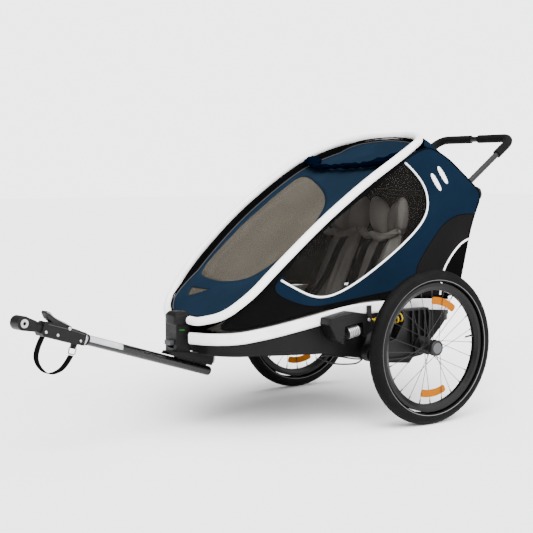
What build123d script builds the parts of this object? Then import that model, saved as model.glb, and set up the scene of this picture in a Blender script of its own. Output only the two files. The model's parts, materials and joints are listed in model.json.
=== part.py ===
"""Two-seat child bicycle trailer with a folding canopy, sprung wheels and a tow arm.

Millimetres. +X is the direction of travel, +Y is left, +Z is up, and the ground is Z = 0.
The origin lies on the ground under the middle of the trailer's overall box. Sketches of the
side view are drawn with their own x measured forward from the wheel axle.
"""

import os
from math import cos, radians, sin, tan

from build123d import *

os.makedirs("parts", exist_ok=True)

# ---------------------------------------------------------------- driving dimensions
AXLE_X = -376  # wheel axle, behind the middle of the overall length
WHEEL_DIAMETER = 500
TYRE_SECTION = 47
TRACK = 740  # between the wheels' middle planes
SPOKES = 24
SPOKE_DIAMETER = 2
AXLE_DIAMETER = 12
BUTTON_TRAVEL = 3.5

HALF_WIDTH = 275  # middle of the lower rail, each side
REAR = -193  # middle of the lower rail's rear run
NOSE = 704  # middle of the hoop's front ends, and its fold axis
NOSE_HEIGHT = 354
RAIL_WIDTH = 22
RAIL_HEIGHT = 36
HOOP_DIAMETER = 26
HOOP_WALL = 1.6
TUB_WALL = 4
FABRIC = 3

CORNER = (-280, 735)  # crossbar that the handlebar and the rear uprights turn on
CROSSBAR_DIAMETER = 20
STRUT_Y = 250
LATCH_BAR = (-200, 420)
UPRIGHT_DIAMETER = 18
UPRIGHT_Y = 222
HANDLE_Y = 189
HANDLE_TOP = (-547, 932)
HANDLE_DIAMETER = 20
GRIP_DIAMETER = 30

ARM_ROOT = (616, 0, 181)  # rear end of the tow tube
ARM_RISE = 18
ARM_YAW = 11.8
ARM_LENGTH = 520
ARM_DIAMETER = 30
ARM_WALL = 2
HITCH_BORE = 10
STRAP_WIDTH = 25
STRAP_THICKNESS = 1.8

PIVOT = (205, 240)  # swing arm pivot, ahead of the axle
BEAM_DIAMETER = 28
SPIGOT_DIAMETER = 20
ARM_PLATE = (300, 326)  # inner and outer faces of the swing arm, from the middle plane
SPRING_DIAMETER = 38
SPRING_WIRE = 5
SPRING_TURNS = 7
SPRING_SEAT = (82, 351)
SPRING_END = (202, 330)
CABLE_DIAMETER = 5

SLIP = 0.05  # radial clearance of a turning fit
GAP = 0.3  # clearance between pieces that only lie near each other
SIDES = {"left": 1, "right": -1}

AXLE_HEIGHT = WHEEL_DIAMETER / 2
AXLE_LEVEL = 250  # the axle's height in the drawing that the frame's heights are taken from
LIFT = AXLE_HEIGHT - AXLE_LEVEL  # raises the whole frame with a larger wheel
HOOP_RADIUS = HOOP_DIAMETER / 2


# ---------------------------------------------------------------- helpers
def side_plane(y):
    """Upright plane at y: local x runs forward from the axle, local y runs up."""
    return Plane(origin=(AXLE_X, y, LIFT), x_dir=(1, 0, 0), z_dir=(0, -1, 0))


def plan_plane(z):
    """Level plane at z: local x runs forward from the axle, local y runs left."""
    return Plane(origin=(AXLE_X, 0, z + LIFT))


def wheel_plane(side):
    """Radial plane of one wheel: local x is the radius, local y points outward."""
    centre = (AXLE_X, side * TRACK / 2, AXLE_HEIGHT)
    return Plane(origin=centre, x_dir=(1, 0, 0), z_dir=(0, 0, side))


def arm_point(along, left=0, up=0):
    """A point of the tow arm's own frame, in the trailer's frame."""
    return tow_arm.from_local_coords((along, left, up))


def arm_side(left):
    """Plane along the tow arm: local x runs along the tube, local y runs up from it."""
    return Plane(origin=arm_point(0, left), x_dir=tow_arm.x_dir, z_dir=-tow_arm.y_dir)


def turn_radii(points, closed=False, share=0.45):
    """The largest even arc radius at each corner of a route."""
    corners = [Vector(*p) for p in points]
    count = len(corners)
    inner = range(count) if closed else range(1, count - 1)
    radii = []
    for i in inner:
        before = corners[i] - corners[i - 1]
        after = corners[(i + 1) % count] - corners[i]
        half_turn = radians(before.get_angle(after)) / 2
        radii.append(share * min(before.length, after.length) / tan(half_turn))
    return radii


def mirrored(points):
    """A route on the left side, followed back along the right side."""
    return points + [(p[0], -p[1], *p[2:]) for p in reversed(points)]


def slab(outline, near, far, side=1):
    """Adds a side-view outline, from one distance off the middle plane to another."""
    outer = max(side * near, side * far)
    with BuildSketch(side_plane(outer)) as profile:
        with BuildLine():
            Polyline(*outline, close=True)
        make_face()
    return extrude(profile.sketch, amount=abs(far - near))


def round_bar(start, end, radius, mode=Mode.ADD):
    """Adds a round bar from one point to another."""
    axis = Vector(*end) - Vector(*start)
    with BuildSketch(Plane(origin=start, z_dir=axis)) as disc:
        Circle(radius)
    extrude(disc.sketch, amount=axis.length, mode=mode)


def at(x, y, z):
    """A place ahead of the axle, in the trailer's frame."""
    return (AXLE_X + x, y, z + LIFT)


def tube_along(points, radius, wall=0, radii=None):
    """Adds a round tube along a route given ahead of the axle."""
    with BuildLine(plan_plane(0)) as route:
        FilletPolyline(*points, radius=radii or turn_radii(points))
    with BuildSketch(Plane(origin=route.line @ 0, z_dir=route.line % 0)) as section:
        Circle(radius)
        if wall:
            Circle(radius - wall, mode=Mode.SUBTRACT)
    sweep(section.sketch, path=route.line)


def save(piece, name):
    piece.part.label = name
    export_step(piece.part, f"parts/{name}.step")


rise, yaw = radians(ARM_RISE), radians(ARM_YAW)
tow_arm = Plane(
    origin=at(*ARM_ROOT),
    x_dir=(cos(rise) * cos(yaw), cos(rise) * sin(yaw), sin(rise)),
    z_dir=(-sin(rise) * cos(yaw), -sin(rise) * sin(yaw), cos(rise)),
)

# ---------------------------------------------------------------- shapes that pieces share
RAIL_LEFT = [
    (NOSE, 52, 299),
    (682, 132, 302),
    (628, 204, 308),
    (535, 243, 325),
    (400, 262, 349),
    (254, 271, 376),
    (120, HALF_WIDTH, 381),
    (-60, HALF_WIDTH, 377),
    (REAR, HALF_WIDTH, 363),
]
REAR_CORNER = 60
HOOP_LEFT = [
    (NOSE, 46, NOSE_HEIGHT),
    (NOSE, 92, NOSE_HEIGHT),
    (662, 178, 376),
    (596, 229, 440),
    (515, 249, 523),
    (355, 267, 663),
    (190, 273, 779),
    (50, 275, 862),
    (-80, 222, 917),
    (-132, 125, 935),
]
HOOP_WEST = mirrored(HOOP_LEFT)
HULL = [(x, y) for x, y, _ in RAIL_LEFT[1:-2]] + [(REAR, HALF_WIDTH)]
TUB_UNDERSIDE = [
    (NOSE + 10, 254),
    (672, 252),
    (561, 255),
    (359, 247),
    (193, 217),
    (111, 196),
    (7, 185),
    (-10, 206),
    (-97, 264),
    (-150, 314),
    (REAR - 12, 317),
]
SKIN_REAR = -340
COVER_LINE = [(x, z - 4) for x, y, z in HOOP_LEFT[1:]]


def hull_sketch(z, inset, rear=REAR, rear_corner=REAR_CORNER):
    """Plan outline of the body, boat-shaped towards the nose."""
    outline = mirrored(HULL[:-1] + [(rear, HALF_WIDTH)])
    radii = turn_radii(outline, closed=True)
    corner = len(HULL) - 1
    radii[corner] = radii[corner + 1] = rear_corner
    with BuildSketch(plan_plane(z)) as plan:
        with BuildLine():
            FilletPolyline(*outline, radius=radii, close=True)
        make_face()
        offset(amount=-inset)
    return plan.sketch


def hoop_sketch(z, inset):
    """Plan outline of the hoop."""
    outline = mirrored([(x, y) for x, y, _ in HOOP_LEFT[1:]])
    with BuildSketch(plan_plane(z)) as plan:
        with BuildLine():
            FilletPolyline(*outline, radius=turn_radii(outline, closed=True), close=True)
        make_face()
        offset(amount=-inset)
    return plan.sketch


def strip_sketch(line, thickness, y):
    """Side view of a sheet that follows a line."""
    under = [(x, z - thickness) for x, z in line]
    with BuildSketch(side_plane(y)) as strip:
        with BuildLine():
            FilletPolyline(*line, radius=turn_radii(line))
            Line(line[-1], under[-1])
            FilletPolyline(*under, radius=turn_radii(under))
            Line(under[0], line[0])
        make_face()
    return strip.sketch


def rail_along(grow=0.0):
    """Adds the lower rail's oval tube, or the room that it takes."""
    route_points = mirrored(RAIL_LEFT)
    radii = turn_radii(route_points)
    corner = len(RAIL_LEFT) - 2
    radii[corner] = radii[corner + 1] = REAR_CORNER
    with BuildLine(plan_plane(0)) as route:
        FilletPolyline(*route_points, radius=radii)
    tangent = route.line % 0
    across = Vector(0, 0, 1).cross(tangent)
    with BuildSketch(Plane(origin=route.line @ 0, x_dir=across, z_dir=tangent)) as section:
        RectangleRounded(RAIL_WIDTH + 2 * grow, RAIL_HEIGHT + 2 * grow, 9)
    sweep(section.sketch, path=route.line)


with BuildPart() as rail_room:
    rail_along(GAP)

with BuildPart() as hoop_room:
    tube_along(HOOP_WEST, HOOP_RADIUS + GAP)

# ---------------------------------------------------------------- chassis
with BuildPart() as lower_rail:
    rail_along()
save(lower_rail, "lower_rail")

with BuildPart() as floor_tub:
    slab(TUB_UNDERSIDE + [(x, z) for x, _, z in reversed(RAIL_LEFT)], -300, 300)
    extrude(hull_sketch(150, 0), amount=260, mode=Mode.INTERSECT)
    with BuildPart(mode=Mode.PRIVATE) as tub_room:
        slab([(x, z + TUB_WALL) for x, z in TUB_UNDERSIDE] + [(REAR, 420), (NOSE, 420)], -300, 300)
        extrude(hull_sketch(150, TUB_WALL), amount=300, mode=Mode.INTERSECT)
    add(tub_room.part, mode=Mode.SUBTRACT)
    add(rail_room.part, mode=Mode.SUBTRACT)
    round_bar(at(PIVOT[0], -300, PIVOT[1]), at(PIVOT[0], 300, PIVOT[1]), BEAM_DIAMETER / 2 + GAP,
              mode=Mode.SUBTRACT)
save(floor_tub, "floor_tub")

HANGER = [(184, 228), (228, 228), (200, 300), (200, 390), (184, 390)]
with BuildPart() as suspension_beam:
    beam_end = ARM_PLATE[0] - 0.5
    round_bar(at(PIVOT[0], -beam_end, PIVOT[1]), at(PIVOT[0], beam_end, PIVOT[1]), BEAM_DIAMETER / 2)
    spigot_end = ARM_PLATE[1] + 0.5
    round_bar(at(PIVOT[0], -spigot_end, PIVOT[1]), at(PIVOT[0], spigot_end, PIVOT[1]), SPIGOT_DIAMETER / 2)
    for side in SIDES.values():
        slab(HANGER, 286, 293, side)
        round_bar(at(PIVOT[0], side * spigot_end, PIVOT[1]), at(PIVOT[0], side * (spigot_end + 6), PIVOT[1]), 15)
save(suspension_beam, "suspension_beam")

COLUMN = [(696.2, 232), (745, 244), (745, 366), (736, 375), (704, 375), (696.2, 367)]
COLUMN_HALF = 35
RAIL_STUBS = [(697, 287), (711, 287), (711, 311), (697, 311)]
BUTTON_SIZE = (36, 15)
BUTTON_Z = 283
FOOT = [(4, 18), (4, 57), (180, 28.5), (184, 18)]
SLOT_STEM, SLOT_HEAD = 14, 26
with BuildPart() as front_receiver:
    slab(COLUMN, -COLUMN_HALF, COLUMN_HALF)
    slab(RAIL_STUBS, -RAIL_LEFT[0][1] - 2, RAIL_LEFT[0][1] + 2)
    add(rail_room.part, mode=Mode.SUBTRACT)
    with BuildSketch(arm_side(22)) as foot:
        with BuildLine():
            Polyline(*FOOT, close=True)
        make_face()
    extrude(foot.sketch, amount=44)
    cross = Plane(origin=arm_point(0), x_dir=tow_arm.y_dir, z_dir=tow_arm.x_dir)
    with BuildSketch(cross) as tube_room:
        Circle(ARM_DIAMETER / 2 + 2)
    extrude(tube_room.sketch, amount=260, mode=Mode.SUBTRACT)
    with BuildSketch(cross) as slot:
        with Locations((0, 18)):
            Rectangle(SLOT_STEM + 0.8, 8)
        with Locations((0, 22.5)):
            Rectangle(SLOT_HEAD + 0.8, 5.8)
    extrude(slot.sketch, amount=260, mode=Mode.SUBTRACT)
    with BuildSketch(Plane(origin=at(746, 0, 0), x_dir=(0, -1, 0), z_dir=(-1, 0, 0))) as pocket:
        with Locations((0, BUTTON_Z - 4)):
            Rectangle(BUTTON_SIZE[0] + 1, BUTTON_SIZE[1] + 9)
    extrude(pocket.sketch, amount=18, mode=Mode.SUBTRACT)
    round_bar(at(NOSE, -40, NOSE_HEIGHT), at(NOSE, 40, NOSE_HEIGHT), 6 + SLIP, mode=Mode.SUBTRACT)
save(front_receiver, "front_receiver")

with BuildPart() as receiver_button:
    front = 758
    with BuildSketch(Plane(origin=at(front, 0, BUTTON_Z), x_dir=(0, -1, 0), z_dir=(-1, 0, 0))) as tab:
        RectangleRounded(*BUTTON_SIZE, 3)
    extrude(tab.sketch, amount=21)
save(receiver_button, "receiver_button")

with BuildPart() as retaining_pin:
    clip_centre = arm_point(-9, 0, 38)
    with BuildSketch(Plane(origin=clip_centre, x_dir=tow_arm.x_dir, z_dir=tow_arm.y_dir)) as loop:
        RectangleRounded(25, 24, 5)
        RectangleRounded(17, 16, 3, mode=Mode.SUBTRACT)
    extrude(loop.sketch, amount=2, both=True)
    round_bar(arm_point(3.7, -12, 38), arm_point(3.7, 14, 38), 2.4)
    with BuildSketch(Plane(origin=arm_point(4 - GAP, 0), x_dir=tow_arm.y_dir, z_dir=tow_arm.x_dir)) as face:
        with Locations((0, 38)):
            Rectangle(60, 60)
    extrude(face.sketch, amount=10, mode=Mode.SUBTRACT)
save(retaining_pin, "retaining_pin")

HOUSING = [(377, 345), (373, 364), (284, 379), (237, 371), (204, 345), (204, 318), (241, 299), (248, 346),
           (318, 336), (323, 284), (350, 300)]
SHOCK = Vector(SPRING_SEAT[0] - SPRING_END[0], SPRING_SEAT[1] - SPRING_END[1]).normalized()
SHOCK_Y = sum(ARM_PLATE) / 2
DIAL_PIN = 12


def shock_point(distance, side):
    """A point on the spring's axis, measured back from its front end."""
    spot = Vector(*SPRING_END) + SHOCK * distance
    return at(spot.X, side * SHOCK_Y, spot.Y)


for name, side in SIDES.items():
    with BuildPart() as suspension_housing:
        slab(HOUSING, 278, 330, side)
        round_bar(shock_point(-40, side), shock_point(-122, side), DIAL_PIN / 2)
        add(rail_room.part, mode=Mode.SUBTRACT)
        add(floor_tub.part, mode=Mode.SUBTRACT)
        round_bar(at(PIVOT[0], side * 330, PIVOT[1]), at(PIVOT[0], side * 296, PIVOT[1]), 28, mode=Mode.SUBTRACT)
    save(suspension_housing, f"suspension_housing_{name}")

    with BuildPart() as preload_dial:
        round_bar(shock_point(-58, side), shock_point(-100, side), 19)
        round_bar(shock_point(-58, side), shock_point(-100, side), DIAL_PIN / 2 + SLIP, mode=Mode.SUBTRACT)
    save(preload_dial, f"preload_dial_{name}")

    with BuildPart() as spring:
        length = (Vector(*SPRING_SEAT) - Vector(*SPRING_END)).length - SPRING_WIRE - 1
        mean_radius = (SPRING_DIAMETER - SPRING_WIRE) / 2
        with BuildLine() as helix:
            Helix(length / SPRING_TURNS, length, mean_radius, center=shock_point(SPRING_WIRE / 2 + 0.5, side),
                  direction=(SHOCK.X, 0, SHOCK.Y))
        with BuildSketch(Plane(origin=helix.line @ 0, z_dir=helix.line % 0)) as wire:
            Circle(SPRING_WIRE / 2)
        sweep(wire.sketch, path=helix.line, is_frenet=True)
    save(spring, f"spring_{name}")

with BuildPart() as rear_latches:
    for y in (-140, 140):
        slab([(-228, 381.3), (-206, 381.3), (-206, 436), (-220, 436), (-228, 426)], y - 12, y + 12)
    round_bar(at(LATCH_BAR[0], -200, LATCH_BAR[1]), at(LATCH_BAR[0], 200, LATCH_BAR[1]),
              UPRIGHT_DIAMETER / 2 + GAP, mode=Mode.SUBTRACT)
    add(rail_room.part, mode=Mode.SUBTRACT)
save(rear_latches, "rear_latches")

PEDAL_PIVOT = (-226, 352)
PEDAL_HALF = 20
with BuildPart() as brake_bracket:
    slab([(-204, 342), (-204, 372), (-222, 366), (-236, 358), (-236, 346), (-222, 338)], -30, 30)
    add(rail_room.part, mode=Mode.SUBTRACT)
    with BuildSketch(side_plane(PEDAL_HALF + 0.4)) as gap:
        with BuildLine():
            Polyline((-214, 380), (-260, 380), (-260, 320), (-214, 320), close=True)
        make_face()
    extrude(gap.sketch, amount=2 * PEDAL_HALF + 0.8, mode=Mode.SUBTRACT)
    round_bar(at(PEDAL_PIVOT[0], -30, PEDAL_PIVOT[1]), at(PEDAL_PIVOT[0], 30, PEDAL_PIVOT[1]), 3)
save(brake_bracket, "brake_bracket")

with BuildPart() as brake_pedal:
    slab([(-218, 346), (-218, 358), (-232, 360), (-276, 352), (-278, 344), (-232, 344)], -PEDAL_HALF, PEDAL_HALF)
    round_bar(at(PEDAL_PIVOT[0], -PEDAL_HALF, PEDAL_PIVOT[1]), at(PEDAL_PIVOT[0], PEDAL_HALF, PEDAL_PIVOT[1]),
              3 + SLIP, mode=Mode.SUBTRACT)
save(brake_pedal, "brake_pedal")

CABLE_ROUTE = [
    (-209, -26, 340),
    (-208, -32, 318),
    (-185, -42, 300),
    (-150, -50, 287),
    (-100, -40, 253),
    (-50, 0, 219),
    (8, 60, 176),
    (80, 120, 182),
    (150, 160, 196),
    (220, 180, 213),
    (285, 190, 226),
    (334, 215, 230),
    (345, 250, 224),
    (315, 272, 212),
    (262, 280, 207),
    (228, 288, 209),
    (212, 289.5, 226),
]
with BuildPart() as brake_cable:
    tube_along(CABLE_ROUTE, CABLE_DIAMETER / 2)
save(brake_cable, "brake_cable")

SEAT = [(24, 254.6), (360, 254.6), (372, 300), (350, 336), (40, 330), (24, 300)]
with BuildPart() as seat_base:
    slab(SEAT, -248, 248)
    fillet(seat_base.edges().filter_by(Axis.Y).group_by(Axis.Z)[-1], 12)
save(seat_base, "seat_base")

SEAT_BACK = [(62, 330.8), (100, 331.6), (-20, 640), (-32, 724), (-78, 722), (-76, 640)]
for name, side in SIDES.items():
    with BuildPart() as seat_back:
        slab(SEAT_BACK, 6, 206, side)
        fillet(seat_back.edges().filter_by(Axis.Y).group_by(Axis.Z)[-1], 12)
    save(seat_back, f"seat_back_{name}")

# ---------------------------------------------------------------- fabric sides, windows and rear
SIDE_OUTLINE = (
    [(x, z - 8) for x, _, z in HOOP_LEFT[2:9]]
    + [(-110, 895), (-275, 770), (-306, 744), (-306, 714), (-278, 657), (-255, 584), (-224, 454), (-206, 384)]
    + [(-60, 396), (120, 401), (254, 396), (400, 369), (535, 345), (628, 328), (664, 330)]
)
WINDOW_OUTLINE = [
    (497, 486), (440, 452), (368, 425), (287, 439), (159, 504), (11, 598), (-62, 675), (-55, 745), (2, 812),
    (37, 833), (76, 808), (198, 733), (294, 676), (400, 596),
]


def window_sketch(y, inset=0.0):
    """Side view of a side window."""
    with BuildSketch(side_plane(y)) as window:
        with BuildLine():
            radii = [min(r, 60) for r in turn_radii(WINDOW_OUTLINE, closed=True)]
            FilletPolyline(*WINDOW_OUTLINE, radius=radii, close=True)
        make_face()
        if inset:
            offset(amount=-inset)
    return window.sketch


def skin(inset, thickness):
    """The upright band of the body's sides, which run straight back past the rail."""
    with BuildPart(mode=Mode.PRIVATE) as band:
        extrude(hull_sketch(300, inset, SKIN_REAR, 1), amount=700)
        extrude(hull_sketch(300, inset + thickness, SKIN_REAR - thickness, 1), amount=700, mode=Mode.SUBTRACT)
    return band.part


for name, side in SIDES.items():
    with BuildPart() as side_panel:
        slab(SIDE_OUTLINE, 200, 300, side)
        add(skin(3, FABRIC), mode=Mode.INTERSECT)
        extrude(window_sketch(300), amount=600, mode=Mode.SUBTRACT)
        add(rail_room.part, mode=Mode.SUBTRACT)
        add(hoop_room.part, mode=Mode.SUBTRACT)
    save(side_panel, f"side_panel_{name}")

    with BuildPart() as side_window:
        extrude(window_sketch(max(side * 200, side * 300), GAP), amount=100)
        add(skin(4, 1), mode=Mode.INTERSECT)
    save(side_window, f"side_window_{name}")

UPRIGHT = (Vector(*CORNER) - Vector(*LATCH_BAR)).normalized()
REAR_OFFSET = UPRIGHT_DIAMETER / 2 + GAP


def behind(distance, offset_back):
    """A point beside the rear uprights, measured up from the latch bar."""
    spot = Vector(*LATCH_BAR) + UPRIGHT * distance + Vector(-UPRIGHT.Y, UPRIGHT.X) * offset_back
    return (spot.X, spot.Y)


with BuildPart() as rear_panel:
    slab([behind(26, REAR_OFFSET), behind(300, REAR_OFFSET), behind(300, REAR_OFFSET + FABRIC),
          behind(26, REAR_OFFSET + FABRIC)], -255, 255)
save(rear_panel, "rear_panel")

# ---------------------------------------------------------------- canopy
with BuildPart() as hoop:
    tube_along(HOOP_WEST, HOOP_RADIUS, HOOP_WALL)
    for side in SIDES.values():
        round_bar(at(NOSE, side * 46, NOSE_HEIGHT), at(NOSE, side * 66, NOSE_HEIGHT), HOOP_RADIUS - HOOP_WALL)
        round_bar(at(NOSE, side * 45, NOSE_HEIGHT), at(NOSE, side * 67, NOSE_HEIGHT), 6 + SLIP, mode=Mode.SUBTRACT)
save(hoop, "hoop")

with BuildPart() as hoop_pin:
    round_bar(at(NOSE, -64, NOSE_HEIGHT), at(NOSE, 64, NOSE_HEIGHT), 6)
save(hoop_pin, "hoop_pin")

with BuildPart() as canopy_bow:
    bar_end = STRUT_Y + CROSSBAR_DIAMETER / 2
    round_bar(at(CORNER[0], -bar_end, CORNER[1]), at(CORNER[0], bar_end, CORNER[1]), CROSSBAR_DIAMETER / 2)
    for side in SIDES.values():
        round_bar(at(CORNER[0], side * STRUT_Y, CORNER[1]), at(6, side * 252, 884), 9)
    add(hoop_room.part, mode=Mode.SUBTRACT)
    with BuildSketch(side_plane(300)) as beyond:
        with BuildLine():
            Polyline((-20, 950), (60, 950), (60, 884), (12, 874), close=True)
        make_face()
    extrude(beyond.sketch, amount=600, mode=Mode.SUBTRACT)
save(canopy_bow, "canopy_bow")

with BuildPart() as corner_hinges:
    for side in SIDES.values():
        slab([(-318, 735), (-312, 752), (-296, 760), (-262, 760), (-256, 748), (-256, 722), (-264, 712),
              (-300, 714), (-314, 722)], STRUT_Y + CROSSBAR_DIAMETER / 2 + GAP, 268, side)
save(corner_hinges, "corner_hinges")

FRONT_WINDOW = [(560, 55), (520, 160), (440, 205), (340, 205), (262, 165), (205, 70)]


def front_window_sketch(inset=0.0):
    """Plan outline of the big window in the front cover."""
    outline = mirrored(FRONT_WINDOW)
    with BuildSketch(plan_plane(300)) as window:
        with BuildLine():
            FilletPolyline(*outline, radius=turn_radii(outline, closed=True), close=True)
        make_face()
        if inset:
            offset(amount=-inset)
    return window.sketch


with BuildPart() as front_cover:
    extrude(strip_sketch(COVER_LINE, FABRIC, 300), amount=600)
    extrude(hoop_sketch(200, HOOP_RADIUS - 2), amount=800, mode=Mode.INTERSECT)
    add(hoop_room.part, mode=Mode.SUBTRACT)
    extrude(front_window_sketch(), amount=800, mode=Mode.SUBTRACT)
save(front_cover, "front_cover")

with BuildPart() as front_window:
    extrude(strip_sketch([(x, z - 1) for x, z in COVER_LINE], 1, 300), amount=600)
    extrude(front_window_sketch(GAP), amount=800, mode=Mode.INTERSECT)
save(front_window, "front_window")

SHADE_AT = (88, 851.2)
with BuildPart() as sunshade_roll:
    round_bar(at(SHADE_AT[0], -236, SHADE_AT[1]), at(SHADE_AT[0], 236, SHADE_AT[1]), 13)
    fillet(sunshade_roll.edges().filter_by(GeomType.CIRCLE), 6)
save(sunshade_roll, "sunshade_roll")

with BuildPart() as hood:
    slab([(-138, 939), (-272, 782), (-275, 785), (-141, 942)], -250, 250)
    add(hoop_room.part, mode=Mode.SUBTRACT)
save(hood, "hood")

# ---------------------------------------------------------------- rear uprights and handlebar
EYE = 15
EYE_LENGTH = 24
UPRIGHT_CORNER = 36
with BuildPart() as rear_uprights:
    foot_y = UPRIGHT_Y
    top = Vector(*CORNER) - UPRIGHT * 4
    legs = mirrored([(top.X, foot_y, top.Y), (LATCH_BAR[0], foot_y, LATCH_BAR[1])])
    tube_along(legs, UPRIGHT_DIAMETER / 2, radii=[UPRIGHT_CORNER, UPRIGHT_CORNER])
    for side in SIDES.values():
        eye = [at(CORNER[0], side * (UPRIGHT_Y + end), CORNER[1]) for end in (-EYE_LENGTH / 2, EYE_LENGTH / 2)]
        round_bar(*eye, EYE)
        round_bar(*eye, CROSSBAR_DIAMETER / 2 + SLIP, mode=Mode.SUBTRACT)
save(rear_uprights, "rear_uprights")

HANDLE = (Vector(*HANDLE_TOP) - Vector(*CORNER)).normalized()
HANDLE_CORNER = 45
with BuildPart() as handlebar:
    base = Vector(*CORNER) + HANDLE * 12
    legs = mirrored([(base.X, HANDLE_Y, base.Y), (HANDLE_TOP[0], HANDLE_Y, HANDLE_TOP[1])])
    tube_along(legs, HANDLE_DIAMETER / 2, radii=[HANDLE_CORNER, HANDLE_CORNER])
    for side in SIDES.values():
        eye = [at(CORNER[0], side * (HANDLE_Y + end), CORNER[1]) for end in (-EYE_LENGTH / 2, EYE_LENGTH / 2)]
        round_bar(*eye, EYE)
        round_bar(*eye, CROSSBAR_DIAMETER / 2 + SLIP, mode=Mode.SUBTRACT)
save(handlebar, "handlebar")

GRIP_START = 232  # along the leg, from the crossbar's axis
GRIP_END_Y = 22
with BuildPart() as handle_grips:
    low = Vector(*CORNER) + HANDLE * GRIP_START
    for side in SIDES.values():
        route = [(low.X, side * HANDLE_Y, low.Y), (HANDLE_TOP[0], side * HANDLE_Y, HANDLE_TOP[1]),
                 (HANDLE_TOP[0], side * GRIP_END_Y, HANDLE_TOP[1])]
        tube_along(route, GRIP_DIAMETER / 2, GRIP_DIAMETER / 2 - HANDLE_DIAMETER / 2 - SLIP,
                   radii=[HANDLE_CORNER])
save(handle_grips, "handle_grips")

# ---------------------------------------------------------------- swing arms and wheels
ARM_WEB = [(205, 266), (205, 214), (60, 212), (0, 218), (-34, 262), (-36, 352), (-26, 372), (85.5, 372),
           (78.5, 331), (112, 280)]
ARM_RIBS = [-12, 14, 40]
POCKET_DEPTH = 12
HUB_BOSS = 30
PIVOT_BOSS = 25
RIM_SEAT = WHEEL_DIAMETER / 2 - TYRE_SECTION + 5
RIM_INNER = RIM_SEAT - 24
RIM_HALF = 13.5
TYRE_WALL = 3.5
FLANGE = 14  # spoke flanges, either side of the wheel's middle plane
FLANGE_RADIUS = 26
SPOKE_HOLE = 22
HUB_END = 37
CAP_RADIUS = 25
CAP_FACE = 30
RECESS_FLOOR = 22
REFLECTOR_RADIUS = RIM_INNER - 34
REFLECTOR_ANGLES = [110, 266]
VALVE_ANGLE = 172.5


def disc_at(spot, side, near, far, radius, mode=Mode.ADD):
    """Adds a round boss across the swing arm."""
    round_bar(at(spot[0], side * near, spot[1]), at(spot[0], side * far, spot[1]), radius, mode=mode)


def turned(side, profile):
    """Adds a solid of revolution about the wheel's axle, from radius and outward places."""
    with BuildSketch(wheel_plane(side)) as half:
        with BuildLine():
            Polyline(*profile, close=True)
        make_face()
    revolve(half.sketch, axis=Axis(wheel_plane(side).origin, (0, 1, 0)))


def wheel_point(side, radius, angle, out):
    """A point of the wheel, by radius, angle from straight ahead and distance outward."""
    turn = radians(angle)
    x, z = radius * cos(turn), AXLE_LEVEL + radius * sin(turn)
    return at(x, side * (TRACK / 2 + out), z)


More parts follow.
